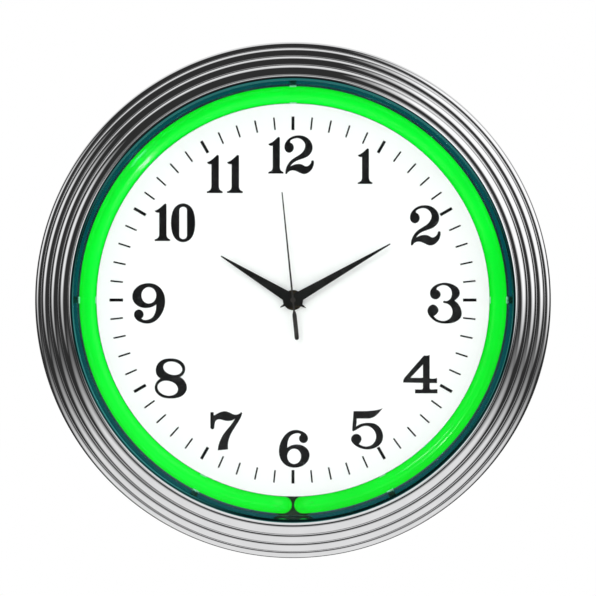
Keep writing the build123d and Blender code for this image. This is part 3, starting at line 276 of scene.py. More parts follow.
def wear_group():
    """Wear along edges: a mask that is 1 where an edge is rubbed bare."""
    inputs = [("Amount", "NodeSocketFloat", 0.3), ("Scale", "NodeSocketFloat", 160.0)]
    tree, start, end = new_group("Edge wear", inputs, [("Mask", "NodeSocketFloat")])
    point = tree.nodes.new("ShaderNodeNewGeometry").outputs["Pointiness"]
    edge = remap(tree, point, EDGE_STARTS, EDGE_FULL, 0.0, 1.0)
    patches = noise(tree, object_place(tree), start.outputs["Scale"], 5.0, 0.65)
    broken = remap(tree, patches, 0.45, 0.62, 0.0, 1.0)
    worn = math_node(tree, "MULTIPLY", edge, broken)
    mask = math_node(tree, "MULTIPLY", worn, start.outputs["Amount"], clamp=True)
    tree.links.new(mask, end.inputs["Mask"])
    return tree


def dust_group():
    """Dust where a surface faces up: a mask from 0 to 1."""
    inputs = [("Amount", "NodeSocketFloat", 0.25), ("Scale", "NodeSocketFloat", 70.0)]
    tree, start, end = new_group("Dust", inputs, [("Mask", "NodeSocketFloat")])
    split = tree.nodes.new("ShaderNodeSeparateXYZ")
    tree.links.new(tree.nodes.new("ShaderNodeNewGeometry").outputs["Normal"], split.inputs[0])
    up = remap(tree, split.outputs["Z"], 0.35, 1.0, 0.0, 1.0)
    patches = noise(tree, object_place(tree), start.outputs["Scale"], 6.0, 0.7)
    dusty = math_node(tree, "MULTIPLY", up, remap(tree, patches, 0.35, 0.75, 0.2, 1.0))
    mask = math_node(tree, "MULTIPLY", dusty, start.outputs["Amount"], clamp=True)
    tree.links.new(mask, end.inputs["Mask"])
    return tree


def smudge_group():
    """Handling smudges: a value that swings between two roughnesses."""
    inputs = [
        ("Clean", "NodeSocketFloat", 0.05),
        ("Smudged", "NodeSocketFloat", 0.12),
        ("Scale", "NodeSocketFloat", 22.0),
    ]
    tree, start, end = new_group("Smudges", inputs, [("Roughness", "NodeSocketFloat")])
    cloudy = noise(tree, object_place(tree), start.outputs["Scale"], 7.0, 0.6)
    value = remap(tree, cloudy, 0.42, 0.7, start.outputs["Clean"], start.outputs["Smudged"])
    tree.links.new(value, end.inputs["Roughness"])
    return tree


def lathe_group():
    """Marks of turning or spinning, in rings round the clock's middle."""
    inputs = [("Rings per metre", "NodeSocketFloat", 900.0), ("Wander", "NodeSocketFloat", 6.0)]
    tree, start, end = new_group("Lathe rings", inputs, [("Height", "NodeSocketFloat")])
    shift = tree.nodes.new("ShaderNodeVectorMath")
    shift.operation = "SUBTRACT"
    tree.links.new(object_place(tree), shift.inputs[0])
    shift.inputs[1].default_value = (CENTRE.x, 0.0, CENTRE.z)
    split = tree.nodes.new("ShaderNodeSeparateXYZ")
    tree.links.new(shift.outputs[0], split.inputs[0])
    squares = [math_node(tree, "MULTIPLY", split.outputs[axis], split.outputs[axis]) for axis in "XZ"]
    radius = math_node(tree, "SQRT", math_node(tree, "ADD", *squares))
    turn = math_node(tree, "ARCTAN2", split.outputs["Z"], split.outputs["X"])
    rings = tree.nodes.new("ShaderNodeCombineXYZ")
    tree.links.new(math_node(tree, "MULTIPLY", radius, start.outputs["Rings per metre"]), rings.inputs["X"])
    tree.links.new(math_node(tree, "MULTIPLY", turn, start.outputs["Wander"]), rings.inputs["Y"])
    depth = math_node(tree, "MULTIPLY", split.outputs["Y"], start.outputs["Rings per metre"])
    tree.links.new(depth, rings.inputs["Z"])
    tree.links.new(noise(tree, rings.outputs[0], 1.0, 3.0, 0.6), end.inputs["Height"])
    return tree


def brushed_group():
    """Brushed or drawn lines along X: a height for the bump."""
    inputs = [("Lines", "NodeSocketFloat", 1800.0), ("Length", "NodeSocketFloat", 30.0)]
    tree, start, end = new_group("Brushed lines", inputs, [("Height", "NodeSocketFloat")])
    split = tree.nodes.new("ShaderNodeSeparateXYZ")
    tree.links.new(object_place(tree), split.inputs[0])
    rows = tree.nodes.new("ShaderNodeCombineXYZ")
    for axis, spacing in (("X", "Length"), ("Y", "Lines"), ("Z", "Lines")):
        stretched = math_node(tree, "MULTIPLY", split.outputs[axis], start.outputs[spacing])
        tree.links.new(stretched, rows.inputs[axis])
    tree.links.new(noise(tree, rows.outputs[0], 1.0, 3.0, 0.6), end.inputs["Height"])
    return tree


def winding_group():
    """Close turns of wire wound round the X axis: a height, and the shade between the turns."""
    inputs = [("Turns per metre", "NodeSocketFloat", 7000.0)]
    outputs = [("Height", "NodeSocketFloat"), ("Shade", "NodeSocketFloat")]
    tree, start, end = new_group("Winding", inputs, outputs)
    split = tree.nodes.new("ShaderNodeSeparateXYZ")
    tree.links.new(object_place(tree), split.inputs[0])
    wobble = noise(tree, object_place(tree), 260.0, 2.0, 0.5)
    place = math_node(tree, "MULTIPLY", split.outputs["X"], start.outputs["Turns per metre"])
    wave = math_node(tree, "SINE", math_node(tree, "ADD", place, wobble))
    tree.links.new(wave, end.inputs["Height"])
    tree.links.new(remap(tree, wave, -1.0, 1.0, 0.0, 1.0), end.inputs["Shade"])
    return tree


GROUPS = {
    "grain": ("Fine grain", grain_group),
    "wear": ("Edge wear", wear_group),
    "dust": ("Dust", dust_group),
    "smudge": ("Smudges", smudge_group),
    "lathe": ("Lathe rings", lathe_group),
    "brushed": ("Brushed lines", brushed_group),
    "winding": ("Winding", winding_group),
}


def effect(material, name, **values):
    """One of the shared effects, built once, placed in a material with its own values."""
    label, build = GROUPS[name]
    tree = bpy.data.node_groups.get(label) or build()
    node = material.node_tree.nodes.new("ShaderNodeGroup")
    node.node_tree = tree
    for socket, value in values.items():
        node.inputs[socket.replace("_", " ").capitalize()].default_value = value
    return node


# ---- Materials ----
DUST_COLOUR = (0.32, 0.30, 0.27)
PLATING_SHADE = 0.94


def darker(colour, share):
    """A colour times a share, which lightens it when it is over 1."""
    return tuple(share * part for part in colour)


def bump(tree, height, strength, distance, shader):
    """Feeds a height to a shader's normal."""
    node = tree.nodes.new("ShaderNodeBump")
    node.inputs["Strength"].default_value = strength
    node.inputs["Distance"].default_value = distance
    tree.links.new(height, node.inputs["Height"])
    tree.links.new(node.outputs["Normal"], shader.inputs["Normal"])


def finish(
    name,
    colour,
    shade,
    rough,
    metallic=0.0,
    grain=900.0,
    mottle=40.0,
    relief=(0.25, 0.0002),
    texture="grain",
    worn=None,
    dust=0.0,
    **sockets,
):
    """A surface finish: two close colours, a range of roughness, a relief, worn edges and dust."""
    material = bpy.data.materials.new(name)
    material.use_nodes = True
    tree = material.node_tree
    shader = tree.nodes["Principled BSDF"]
    shader.inputs["Metallic"].default_value = metallic
    for label, value in sockets.items():
        shader.inputs[label.replace("_", " ").title().replace("Ior", "IOR")].default_value = value

    fine = effect(material, "grain", scale=grain, shade_scale=mottle)
    cover = blend_colours(tree, fine.outputs["Shade"], colour, shade)
    if worn:
        mask = effect(material, "wear", amount=worn[1]).outputs["Mask"]
        cover = blend_colours(tree, mask, cover, worn[0])
    if dust:
        mask = effect(material, "dust", amount=dust).outputs["Mask"]
        cover = blend_colours(tree, mask, cover, DUST_COLOUR)
    tree.links.new(cover, shader.inputs["Base Color"])

    smudges = effect(material, "smudge", clean=rough[0], smudged=rough[1])
    tree.links.new(smudges.outputs["Roughness"], shader.inputs["Roughness"])
    height = fine.outputs["Height"] if texture == "grain" else effect(material, texture).outputs["Height"]
    bump(tree, height, *relief, shader)
    return material


def dress(material, *names):
    """Gives CAD nodes their finish."""
    for name in names:
        if name not in NODES:
            raise RuntimeError(f"the clock has no piece called {name}")
        mesh = NODES[name].data
        mesh.materials.clear()
        mesh.materials.append(material)


def plated(name, colour, rough, **values):
    """Bright plated metal, a little darker in places."""
    return finish(name, colour, darker(colour, PLATING_SHADE), rough, metallic=1.0, **values)


# ---- Bezel ----
# The radii where one bead ends and the next begins, from the opening to the rim.
BEAD_EDGES = [0.1613, 0.1654, 0.1732, 0.1798, 0.1861, 0.1905]
LIP_END_HEIGHT = 0.0732
LIP_TILT = math.radians(45)
# The share of the lip, from the opening outward, that takes the dark teal tint: a painted reflection of the
# lit tube's glow.
PAINTED_GLOW_SHARE = 0.45
BEAD_TILT = math.radians(8)
# How far a bead steps down, as a share of its width.
BEAD_FALL = 0.7673
SEAT_HEIGHT = 0.070
SKIRT_HEIGHT = 0.036
SKIRT_BAND = 0.004
HEM = 0.0006
SHELL_INSIDE = [
    (0.1885, 0.0360),
    (0.1885, 0.0532),
    (0.1846, 0.0556),
    (0.1840, 0.0582),
    (0.1784, 0.0604),
    (0.1776, 0.0640),
    (0.1718, 0.0654),
    (0.1706, SEAT_HEIGHT),
]


def lip_arc(start_radius, end_radius, end_height, steps):
    """Points of the lip's rounded top, from its opening to where it faces straight out."""
    size = (end_radius - start_radius) / (1 + math.sin(LIP_TILT))
    turns = [-LIP_TILT + (math.pi / 2 + LIP_TILT) * step / steps for step in range(steps + 1)]
    middle = end_radius - size
    return [(middle + size * math.sin(turn), end_height + size * math.cos(turn)) for turn in turns]


def bead_arc(start, end_radius, steps):
    """Points of a rounded step, from its crease to where it faces straight out."""
    start_radius, start_height = start
    width = end_radius - start_radius
    size = width / (1 + math.sin(BEAD_TILT))
    fall = width * BEAD_FALL
    swell = fall / math.cos(BEAD_TILT)
    turns = [-BEAD_TILT + (math.pi / 2 + BEAD_TILT) * step / steps for step in range(steps + 1)]
    middle, foot = end_radius - size, start_height - fall
    return [(middle + size * math.sin(turn), foot + swell * math.cos(turn)) for turn in turns]


def bezel_profile(steps):
    """The bezel's section as closed runs of points of radius and height, a run for each bead."""
    runs = [lip_arc(BEAD_EDGES[0], BEAD_EDGES[1], LIP_END_HEIGHT, steps)]
    for end_radius in BEAD_EDGES[2:]:
        runs.append(bead_arc(runs[-1][-1], end_radius, steps))
    rim, height = runs[-1][-1]
    hem = (rim, SKIRT_HEIGHT + HEM)
    runs.append([(rim, height), (rim, height - SKIRT_BAND), hem])
    runs.append([hem, (rim - HEM, SKIRT_HEIGHT), SHELL_INSIDE[0]])
    runs.append(SHELL_INSIDE)
    runs.append([SHELL_INSIDE[-1], (BEAD_EDGES[0], SEAT_HEIGHT)])
    runs.append([(BEAD_EDGES[0], SEAT_HEIGHT), runs[0][0]])
    return runs


def lathe(name, runs, turns):
    """A body of revolution round the clock's middle, with a sharp edge where one run meets the next."""
    rings = []
    sharp = set()
    for run in runs:
        sharp.add(len(rings))
        rings += run[:-1]
    count = len(rings)
    angles = [2 * math.pi * step / turns for step in range(turns)]
    verts = [
        (CENTRE.x + radius * math.sin(turn), -height, CENTRE.z + radius * math.cos(turn))
        for turn in angles
        for radius, height in rings
    ]
    faces = []
    for step in range(turns):
        here, there = step * count, (step + 1) % turns * count
        for ring in range(count):
            after = (ring + 1) % count
            faces.append((here + ring, there + ring, there + after, here + after))
    mesh = bpy.data.meshes.new(name)
    mesh.from_pydata(verts, [], faces)
    mesh.polygons.foreach_set("use_smooth", [True] * len(faces))
    marks = mesh.attributes.new("sharp_edge", "BOOLEAN", "EDGE")
    for edge in mesh.edges:
        first, second = (vertex % count for vertex in edge.vertices)
        marks.data[edge.index].value = first == second and first in sharp
    mesh.validate()
    piece = bpy.data.objects.new(name, mesh)
    bpy.context.scene.collection.objects.link(piece)
    return piece, count


class CLOCK_OT_make_bezel(Operator):
    """Turn the chromed bezel and its rows of beads"""

    bl_idname = "clock.make_bezel"
    bl_label = "Bezel"

    def execute(self, context):
        case = context.scene.clock_case
        runs = bezel_profile(case.bead_steps)
        bezel, count = lathe("chrome_bezel", runs, case.turns)
        chrome = plated(
            "Bezel chrome", case.chrome, (0.008, 0.03), texture="lathe", relief=(0.03, 0.0001)
        )
        # The lip's inner part and the wall below it take the dark teal plating: a painted reflection of the
        # tube's glow.
        lip = plated("Lip chrome with painted glow", case.lip_painted_glow, (0.08, 0.16), texture="lathe", relief=(0.05, 0.0001))
        bezel.data.materials.append(chrome)
        bezel.data.materials.append(lip)
        for polygon in bezel.data.polygons:
            ring = polygon.index % count
            if ring < case.bead_steps * PAINTED_GLOW_SHARE or ring == count - 1:
                polygon.material_index = 1
        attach(bezel, "clock")
        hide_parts("bezel_ring")
        return {"FINISHED"}


# ---- Case ----


class CLOCK_OT_finish_case(Operator):
    """Finish the rear housing, the hanger, the bumpers and the screws"""

    bl_idname = "clock.finish_case"
    bl_label = "Case"

    def execute(self, context):
        case = context.scene.clock_case
        plastic = finish(
            "Moulded housing",
            case.plastic,
            darker(case.plastic, 1.15),
            (0.47, 0.51),
            grain=1600.0,
            mottle=14.0,
            relief=(0.35, 0.0002),
            worn=((0.06, 0.06, 0.06), 0.5),
            dust=0.3,
        )
        zinc = finish(
            "Zinc plate",
            (0.60, 0.60, 0.57),
            (0.50, 0.50, 0.49),
            (0.22, 0.42),
            metallic=1.0,
            mottle=120.0,
            texture="brushed",
            relief=(0.12, 0.0001),
            dust=0.1,
        )
        screws = plated("Screw plate", (0.62, 0.61, 0.58), (0.18, 0.35), worn=((0.35, 0.34, 0.32), 0.5))
        rubber = finish(
            "Black rubber",
            (0.018, 0.018, 0.018),
            (0.030, 0.030, 0.029),
            (0.65, 0.85),
            grain=2600.0,
            relief=(0.3, 0.0001),
            dust=0.4,
        )
        dress(plastic, "rear_housing", "lens_retainer", "jack_body")
        dress(zinc, "hanger_plate")
        dress(screws, "case_screws", "hanger_screws", "channel_screws", "supply_screws")
        dress(rubber, "rear_bumpers", "lens_gasket", "tube_grommet", "rubber_washer")
        return {"FINISHED"}


# ---- Front glass ----


class CLOCK_OT_finish_glass(Operator):
    """Make the front lens clear, with a thin shine"""

    bl_idname = "clock.finish_glass"
    bl_label = "Front glass"

    def execute(self, context):
        material = bpy.data.materials.new("Clear front glass")
        material.use_nodes = True
        tree = material.node_tree
        shader = tree.nodes["Principled BSDF"]
        shader.inputs["Metallic"].default_value = 0.0
        shader.inputs["Transmission Weight"].default_value = 1.0
        shader.inputs["IOR"].default_value = 1.45
        shader.inputs["Base Color"].default_value = (0.97, 1.0, 0.985, 1.0)
        smudges = effect(material, "smudge", clean=0.0, smudged=0.006, scale=9.0)
        tree.links.new(smudges.outputs["Roughness"], shader.inputs["Roughness"])
        clear = tree.nodes.new("ShaderNodeBsdfTransparent")
        path = tree.nodes.new("ShaderNodeLightPath")
        soft_rays = (path.outputs["Is Shadow Ray"], path.outputs["Is Diffuse Ray"])
        mix = tree.nodes.new("ShaderNodeMixShader")
        tree.links.new(math_node(tree, "MAXIMUM", *soft_rays), mix.inputs[0])
        tree.links.new(shader.outputs[0], mix.inputs[1])
        tree.links.new(clear.outputs[0], mix.inputs[2])
        tree.links.new(mix.outputs[0], tree.nodes["Material Output"].inputs["Surface"])
        dress(material, "lens")
        return {"FINISHED"}


# ---- Lit tube and its channel ----
# The tube's coating ends part of the way round its side: how far the glass faces the wall there.
COATED_TO = -0.12
BARE_FROM = 0.25


class CLOCK_OT_light_tube(Operator):
    """Light the glass ring, and finish its clips, ends and channel"""

    bl_idname = "clock.light_tube"
    bl_label = "Lit tube"

    def execute(self, context):
        tube = context.scene.clock_tube
        material = bpy.data.materials.new("Lit green glass")
        material.use_nodes = True
        tree = material.node_tree
        shader = tree.nodes["Principled BSDF"]
        shader.inputs["Emission Strength"].default_value = tube.strength
        shader.inputs["Specular IOR Level"].default_value = 0.02
        shader.inputs["Coat Weight"].default_value = 0.4
        shader.inputs["Coat Roughness"].default_value = 0.02
        split = tree.nodes.new("ShaderNodeSeparateXYZ")
        tree.links.new(tree.nodes.new("ShaderNodeNewGeometry").outputs["Normal"], split.inputs[0])
        back = remap(tree, split.outputs["Y"], COATED_TO, BARE_FROM, 0.0, 1.0)
        fine = effect(material, "grain", scale=700.0, shade_scale=30.0)
        lit = blend_colours(tree, fine.outputs["Shade"], tube.glow, darker(tube.glow, 0.93))
        glow = blend_colours(tree, back, lit, tube.back_glow)
        tree.links.new(glow, shader.inputs["Emission Color"])
        coat = blend_colours(tree, fine.outputs["Shade"], (0.0, 0.10, 0.01), (0.0, 0.08, 0.008))
        tree.links.new(coat, shader.inputs["Base Color"])
        smudges = effect(material, "smudge", clean=0.1, smudged=0.22)
        tree.links.new(smudges.outputs["Roughness"], shader.inputs["Roughness"])
        bump(tree, fine.outputs["Height"], 0.04, 0.0001, shader)
        dress(material, "neon_tube")

        # Cyan-tinted plating: a painted reflection of the tube's glow, on top of the real reflection of its
        # light.
        painted_glow_channel = plated("Channel with painted glow", tube.channel, (0.06, 0.14), texture="lathe", relief=(0.1, 0.0001))
        clips = finish(
            "Clear clip plastic",
            (0.30, 0.72, 0.45),
            (0.24, 0.62, 0.40),
            (0.12, 0.25),
            relief=(0.05, 0.0001),
        )
        ends = finish(
            "Dark-lined glass",
            (0.10, 0.10, 0.11),
            (0.30, 0.30, 0.31),
            (0.06, 0.14),
            mottle=60.0,
            relief=(0.04, 0.0001),
            coat_weight=0.8,
        )
        caps = finish(
            "Red silicone",
            (0.33, 0.028, 0.018),
            (0.27, 0.022, 0.015),
            (0.45, 0.6),
            relief=(0.15, 0.0001),
        )
        dress(painted_glow_channel, "tube_channel")
        dress(clips, "tube_clips")
        dress(ends, "electrodes")
        dress(caps, "electrode_caps")
        return {"FINISHED"}


# ---- Dial ----


class CLOCK_OT_finish_dial(Operator):
    """Finish the white dial, its print and the fixing at its middle"""

    bl_idname = "clock.finish_dial"
    bl_label = "Dial"

    def execute(self, context):
        dial = context.scene.clock_dial
        white = finish(
            "White dial enamel",
            dial.white,
            darker(dial.white, 0.985),
            (0.42, 0.52),
            grain=2200.0,
            mottle=18.0,
            relief=(0.04, 0.0001),
        )
        ink = finish(
            "Black ink",
            dial.ink,
            darker(dial.ink, 2.0),
            (0.5, 0.62),
            grain=3000.0,
            relief=(0.1, 0.00005),
            specular_ior_level=0.1,
        )
        rubbed = ((0.10, 0.07, 0.03), 0.4)
        brass = plated("Blackened brass", (0.012, 0.010, 0.008), (0.3, 0.45), worn=rubbed)
        dress(white, "dial")
        dress(ink, "dial_ticks", "dial_numerals")
        dress(brass, "brass_washer", "hex_nut")
        return {"FINISHED"}


class CLOCK_OT_finish_hands(Operator):
    """Finish the three hands"""

    bl_idname = "clock.finish_hands"
    bl_label = "Hands"

    def execute(self, context):
        hands = context.scene.clock_dial.hands
        black = finish(
            "Matte black hand paint",
            hands,
            darker(hands, 1.6),
            (0.5, 0.62),
            grain=1800.0,
            relief=(0.15, 0.00005),
            worn=((0.02, 0.02, 0.02), 0.3),
            specular_ior_level=0.12,
        )
        needle = finish(
            "Second hand paint",
            (0.006, 0.004, 0.003),
            (0.009, 0.006, 0.005),
            (0.4, 0.5),
            relief=(0.1, 0.00005),
        )
        dress(black, "hour_hand", "minute_hand")
        dress(needle, "second_hand")
        return {"FINISHED"}


# ---- Movement ----


class CLOCK_OT_finish_movement(Operator):
    """Finish the movement: its case, wheels, coil, board and battery"""

    bl_idname = "clock.finish_movement"
    bl_label = "Movement"

    def execute(self, context):
        case = finish(
            "Movement plastic",
            (0.030, 0.030, 0.031),
            (0.040, 0.040, 0.041),
            (0.35, 0.5),
            grain=2000.0,
            relief=(0.2, 0.0001),
            worn=((0.12, 0.12, 0.12), 0.4),
            dust=0.15,
        )
        nylon = finish(
            "Natural nylon",
            (0.78, 0.77, 0.71),
            (0.72, 0.70, 0.63),
            (0.35, 0.5),
            relief=(0.12, 0.0001),
            subsurface_weight=0.05,
        )
        magnet = finish("Rotor magnet", (0.09, 0.09, 0.10), (0.13, 0.13, 0.14), (0.3, 0.45), metallic=0.6)
        steel = finish(
            "Stamped steel",
            (0.46, 0.46, 0.46),
            (0.36, 0.37, 0.40),
            (0.25, 0.42),
            metallic=1.0,
            texture="brushed",
            relief=(0.2, 0.0001),
        )
        nickel = plated("Nickel plate", (0.68, 0.64, 0.56), (0.12, 0.26), worn=((0.5, 0.36, 0.2), 0.5))
        board = finish(
            "Solder mask",
            (0.012, 0.13, 0.055),
            (0.03, 0.22, 0.10),
            (0.2, 0.34),
            mottle=420.0,
            relief=(0.3, 0.0001),
            coat_weight=0.5,
        )
        copper = finish(
            "Enamelled winding",
            (0.62, 0.24, 0.09),
            (0.42, 0.13, 0.045),
            (0.2, 0.3),
            metallic=0.9,
            texture="winding",
            relief=(0.6, 0.0001),
        )
        dress(case, "movement_case", "movement_back_cover", "setting_knob")
        dress(nylon, "train_bridge", "relay_wheel", "seconds_wheel", "third_wheel")
        dress(nylon, "centre_wheel", "motion_wheel", "hour_wheel")
        dress(magnet, "rotor")
        dress(steel, "stator")
        dress(nickel, "battery_contacts", "jack_contacts", "jack_nut", "switch_lugs")
        dress(board, "circuit_board")
        dress(copper, "coil")
        dress(battery_material(), "battery")
        return {"FINISHED"}


# Along the battery: where its pale band starts and ends, and how much metal shows at each end.
BAND_START = 0.006
BAND_END = 0.015
BARE_LOW_END = 0.0008
BARE_HIGH_END = 0.0020


def battery_material():
    """A grey sleeve with a pale band at one end, and bare metal at both ends."""
    low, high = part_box("battery")
    sleeve = finish(
        "Battery sleeve",
        (0.10, 0.11, 0.13),
        (0.085, 0.095, 0.115),
        (0.2, 0.32),
        grain=1500.0,
        relief=(0.06, 0.0001),
        coat_weight=0.5,
    )
    tree = sleeve.node_tree
    shader = tree.nodes["Principled BSDF"]
    cover = shader.inputs["Base Color"].links[0].from_socket
    split = tree.nodes.new("ShaderNodeSeparateXYZ")
    tree.links.new(object_place(tree), split.inputs[0])
    band = math_node(
        tree,
        "MULTIPLY",
        math_node(tree, "GREATER_THAN", split.outputs["X"], low.x + BAND_START),
        math_node(tree, "LESS_THAN", split.outputs["X"], low.x + BAND_END),
    )
    cover = blend_colours(tree, band, cover, (0.55, 0.56, 0.58))
    bare = math_node(
        tree,
        "ADD",
        math_node(tree, "LESS_THAN", split.outputs["X"], low.x + BARE_LOW_END),
        math_node(tree, "GREATER_THAN", split.outputs["X"], high.x - BARE_HIGH_END),
        clamp=True,
    )
    cover = blend_colours(tree, bare, cover, (0.60, 0.59, 0.56))
    tree.links.new(cover, shader.inputs["Base Color"])
    tree.links.new(bare, shader.inputs["Metallic"])
    return sleeve


# ---- Power ----
LEADS = {
    "White silicone lead": (
        (0.70, 0.69, 0.64),
        (0.62, 0.61, 0.56),
        ("hv_lead_left", "hv_lead_right"),
    ),
    "Black lead": ((0.014, 0.014, 0.015), (0.022, 0.022, 0.023), ("supply_lead",)),
    "Red lead": ((0.42, 0.018, 0.016), (0.34, 0.014, 0.012), ("switch_lead", "return_lead")),
}


class CLOCK_OT_finish_power(Operator):
    """Finish the tube's supply, the switch, the socket and the leads between them"""

    bl_idname = "clock.finish_power"
    bl_label = "Power"

    def execute(self, context):
        box = finish(
            "Supply case plastic",
            (0.035, 0.035, 0.038),
            (0.045, 0.045, 0.048),
            (0.4, 0.55),
            grain=1700.0,
            dust=0.1,
        )
        resin = finish("Potting resin", (0.05, 0.04, 0.03), (0.07, 0.055, 0.04), (0.12, 0.25))
        gloss = finish(
            "Switch plastic",
            (0.018, 0.018, 0.019),
            (0.022, 0.022, 0.023),
            (0.12, 0.24),
            relief=(0.05, 0.0001),
            worn=((0.08, 0.08, 0.08), 0.3),
            coat_weight=0.3,
        )
        dress(box, "supply_case")
        dress(resin, "supply_core")
        dress(gloss, "switch_body", "switch_rocker")
        for name, (colour, shade, nodes) in LEADS.items():
            sleeve = finish(name, colour, shade, (0.32, 0.48), grain=1400.0, relief=(0.08, 0.0001))
            dress(sleeve, *nodes)
        return {"FINISHED"}


# ---- Stage ----
# How far the rim's widest ring is behind the front of the bezel, and how far the camera
# stands to the right of the clock's middle and above it.
RIM_BEHIND_CREST = 0.0215
LOOK_RIGHT = 0.0037
LOOK_UP = 0.0015
FAR_ENOUGH = 100.0
SOFT_BOXES = [
    ("key_light", (-0.9, -2.4, 1.0), (0.35, 0.5), 12.0),
    ("back_light", (1.4, 1.8, 1.5), (1.2, 1.2), 25.0),
]
# What bright metal reflects: a dim room with four broad soft lights. Each light lists its degrees
# clockwise from the top, degrees from the view axis, degrees from middle to edge, and brightness.
ROOM_BRIGHTNESS = 0.03
LIGHT_EDGE = 15.0
SOFT_LIGHTS = {
    "upper right": (60.0, 60.0, 25.0, 1.1),
    "below": (180.0, 60.0, 45.0, 0.8),
    "left": (285.0, 60.0, 10.0, 0.9),
    "behind": (0.0, 135.0, 45.0, 0.8),
}


def light_direction(turn, away):
    """Unit vector from the clock to a light, from its turn round the view axis and its angle from it."""
    turn, away = math.radians(turn), math.radians(away)
    return Vector((math.sin(turn) * math.sin(away), -math.cos(away), math.cos(turn) * math.sin(away)))


def make_surround(stage):
    """The soft light all round, the lights that bright metal reflects, and the plain background."""
    world = bpy.data.worlds.new("Studio")
    bpy.context.scene.world = world
    world.use_nodes = True
    tree = world.node_tree
    light = tree.nodes["Background"]
    outward = tree.nodes.new("ShaderNodeTexCoord").outputs["Generated"]
    colour = (ROOM_BRIGHTNESS,) * 3
    for turn, away, spread, brightness in SOFT_LIGHTS.values():
        facing = tree.nodes.new("ShaderNodeVectorMath")
        facing.operation = "DOT_PRODUCT"
        tree.links.new(outward, facing.inputs[0])
        facing.inputs[1].default_value = light_direction(turn, away)
        off = math_node(tree, "DEGREES", math_node(tree, "ARCCOSINE", facing.outputs["Value"]))
        share = remap(tree, off, spread, spread + LIGHT_EDGE, 1.0, 0.0)
        colour = blend_colours(tree, share, colour, (brightness,) * 3)
    path = tree.nodes.new("ShaderNodeLightPath")
    soft = (stage.light,) * 3
    colour = blend_colours(tree, path.outputs["Is Glossy Ray"], soft, colour)
    colour = blend_colours(tree, path.outputs["Is Camera Ray"], colour, stage.background)
    tree.links.new(colour, light.inputs["Color"])


class CLOCK_OT_make_stage(Operator):
    """Set up the camera, the soft light and the pale floor"""

    bl_idname = "clock.make_stage"
    bl_label = "Stage"

    def execute(self, context):
        scene = context.scene
        stage = scene.clock_stage
        camera_data = bpy.data.cameras.new("camera")
        camera_data.lens = stage.lens
        camera = bpy.data.objects.new("camera", camera_data)
        scene.collection.objects.link(camera)
        scene.camera = camera
        reach = stage.view_width * stage.lens / camera_data.sensor_width
        rim = BEZEL_LOW.y + RIM_BEHIND_CREST
        camera.location = (CENTRE.x + LOOK_RIGHT, rim - reach, CENTRE.z + LOOK_UP)
        camera.rotation_euler = (math.radians(90), 0.0, 0.0)
        camera_data.clip_end = FAR_ENOUGH

        make_surround(stage)
        for name, place, size, power in SOFT_BOXES:
            lamp = bpy.data.lights.new(name, "AREA")
            lamp.shape = "RECTANGLE"
            lamp.size, lamp.size_y = size
            lamp.energy = power
            box = bpy.data.objects.new(name, lamp)
            box.location = CENTRE + Vector(place)
            box.rotation_euler = (CENTRE - box.location).to_track_quat("-Z", "Y").to_euler()
            box.visible_camera = False
            box.visible_glossy = False
            scene.collection.objects.link(box)
        add_glint(scene)

        floor = make_floor(CENTRE.z - stage.floor_drop)
        floor.visible_glossy = False
        scene.view_settings.view_transform = "Standard"
        return {"FINISHED"}


# The glint's lamp: clockwise degrees from the top to it, degrees from the view axis, and where
# on the tube its streak falls.
GLINT_TURN = 133.0
GLINT_AWAY = 58.0
GLINT_RADIUS = 0.1485
GLINT_HEIGHT = 0.054
GLINT_SIZE = (0.045, 1.3)
GLINT_POWER = 45.0


def add_glint(scene):
    """A narrow lamp that only the tube and the front glass reflect: a short streak at the upper left."""
    lamp = bpy.data.lights.new("tube_glint", "AREA")
    lamp.shape = "RECTANGLE"
    lamp.size, lamp.size_y = GLINT_SIZE
    lamp.energy = GLINT_POWER
    glint = bpy.data.objects.new("tube_glint", lamp)
    across = math.radians(GLINT_TURN)
    aim = light_direction(GLINT_TURN, GLINT_AWAY)
    point = Vector((-math.sin(across), 0.0, -math.cos(across))) * GLINT_RADIUS
    point += Vector((CENTRE.x, -GLINT_HEIGHT, CENTRE.z))
    glint.location = point + aim
    side = aim.cross(Vector((0.0, -1.0, 0.0))).normalized()
    glint.rotation_euler = Matrix((side, aim.cross(side), aim)).transposed().to_euler()
    glint.visible_camera = False
    scene.collection.objects.link(glint)
    lit = bpy.data.collections.new("Glint reaches")
    for name in ("neon_tube", "lens"):
        lit.objects.link(NODES[name])
    glint.light_linking.receiver_collection = lit
    return glint


FLOOR_STEPS = 24
FLOOR_WIDTH = 7.0


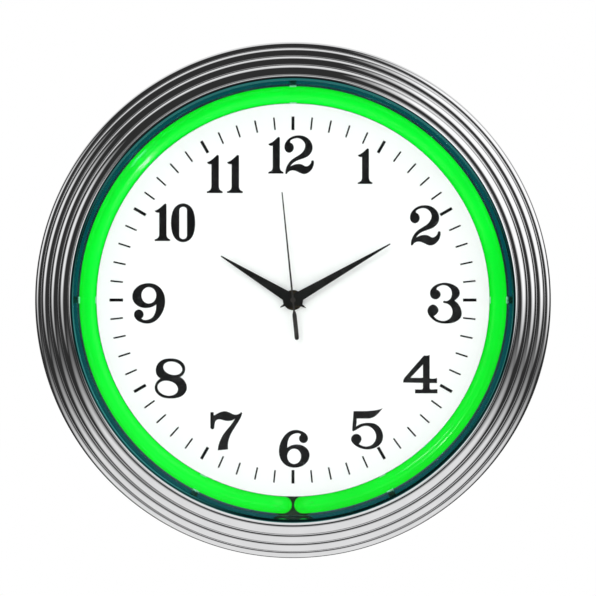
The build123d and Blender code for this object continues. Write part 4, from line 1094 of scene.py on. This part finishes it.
def make_floor(height):
    """A pale floor with a faintly uneven surface."""
    places = [(step / FLOOR_STEPS - 0.5) * FLOOR_WIDTH for step in range(FLOOR_STEPS + 1)]
    verts = [(x, y, height) for y in places for x in places]
    row = len(places)
    faces = []
    for start in range(0, FLOOR_STEPS * row, row):
        for corner in range(start, start + FLOOR_STEPS):
            faces.append((corner, corner + 1, corner + row + 1, corner + row))
    mesh = bpy.data.meshes.new("floor")
    mesh.from_pydata(verts, [], faces)
    floor = bpy.data.objects.new("floor", mesh)
    bpy.context.scene.collection.objects.link(floor)
    pale, shade = (0.80, 0.80, 0.79), (0.78, 0.78, 0.77)
    mesh.materials.append(finish("Pale floor", pale, shade, (0.6, 0.75), mottle=2.0, relief=(0.02, 0.001)))
    return floor


# ---- Panel and registration ----

STEPS = [
    CLOCK_OT_make_bezel,
    CLOCK_OT_finish_case,
    CLOCK_OT_finish_glass,
    CLOCK_OT_light_tube,
    CLOCK_OT_finish_dial,
    CLOCK_OT_finish_hands,
    CLOCK_OT_finish_movement,
    CLOCK_OT_finish_power,
    CLOCK_OT_make_stage,
]


class CLOCK_PT_build(Panel):
    """Lists the clock's settings and the steps that finish it"""

    bl_idname = "CLOCK_PT_build"
    bl_label = "Wall Clock"
    bl_space_type = "VIEW_3D"
    bl_region_type = "UI"
    bl_category = "Wall Clock"

    def draw(self, context):
        scene = context.scene
        for settings in (scene.clock_case, scene.clock_dial, scene.clock_tube, scene.clock_stage):
            box = self.layout.box()
            for name in settings.__annotations__:
                box.prop(settings, name)
        for step in STEPS:
            self.layout.operator(step.bl_idname)


SETTINGS = {
    "clock_case": CaseSettings,
    "clock_dial": DialSettings,
    "clock_tube": TubeSettings,
    "clock_stage": StageSettings,
}


def register():
    for name, group in SETTINGS.items():
        bpy.utils.register_class(group)
        setattr(bpy.types.Scene, name, PointerProperty(type=group))
    for cls in (*STEPS, CLOCK_PT_build):
        bpy.utils.register_class(cls)


def unregister():
    for cls in reversed((*STEPS, CLOCK_PT_build)):
        bpy.utils.unregister_class(cls)
    for name, group in SETTINGS.items():
        delattr(bpy.types.Scene, name)
        bpy.utils.unregister_class(group)


def main():
    register()
    bpy.ops.clock.make_stage()
    bpy.ops.clock.make_bezel()
    bpy.ops.clock.finish_case()
    bpy.ops.clock.finish_glass()
    bpy.ops.clock.light_tube()
    bpy.ops.clock.finish_dial()
    bpy.ops.clock.finish_hands()
    bpy.ops.clock.finish_movement()
    bpy.ops.clock.finish_power()


if __name__ == "__main__":
    main()
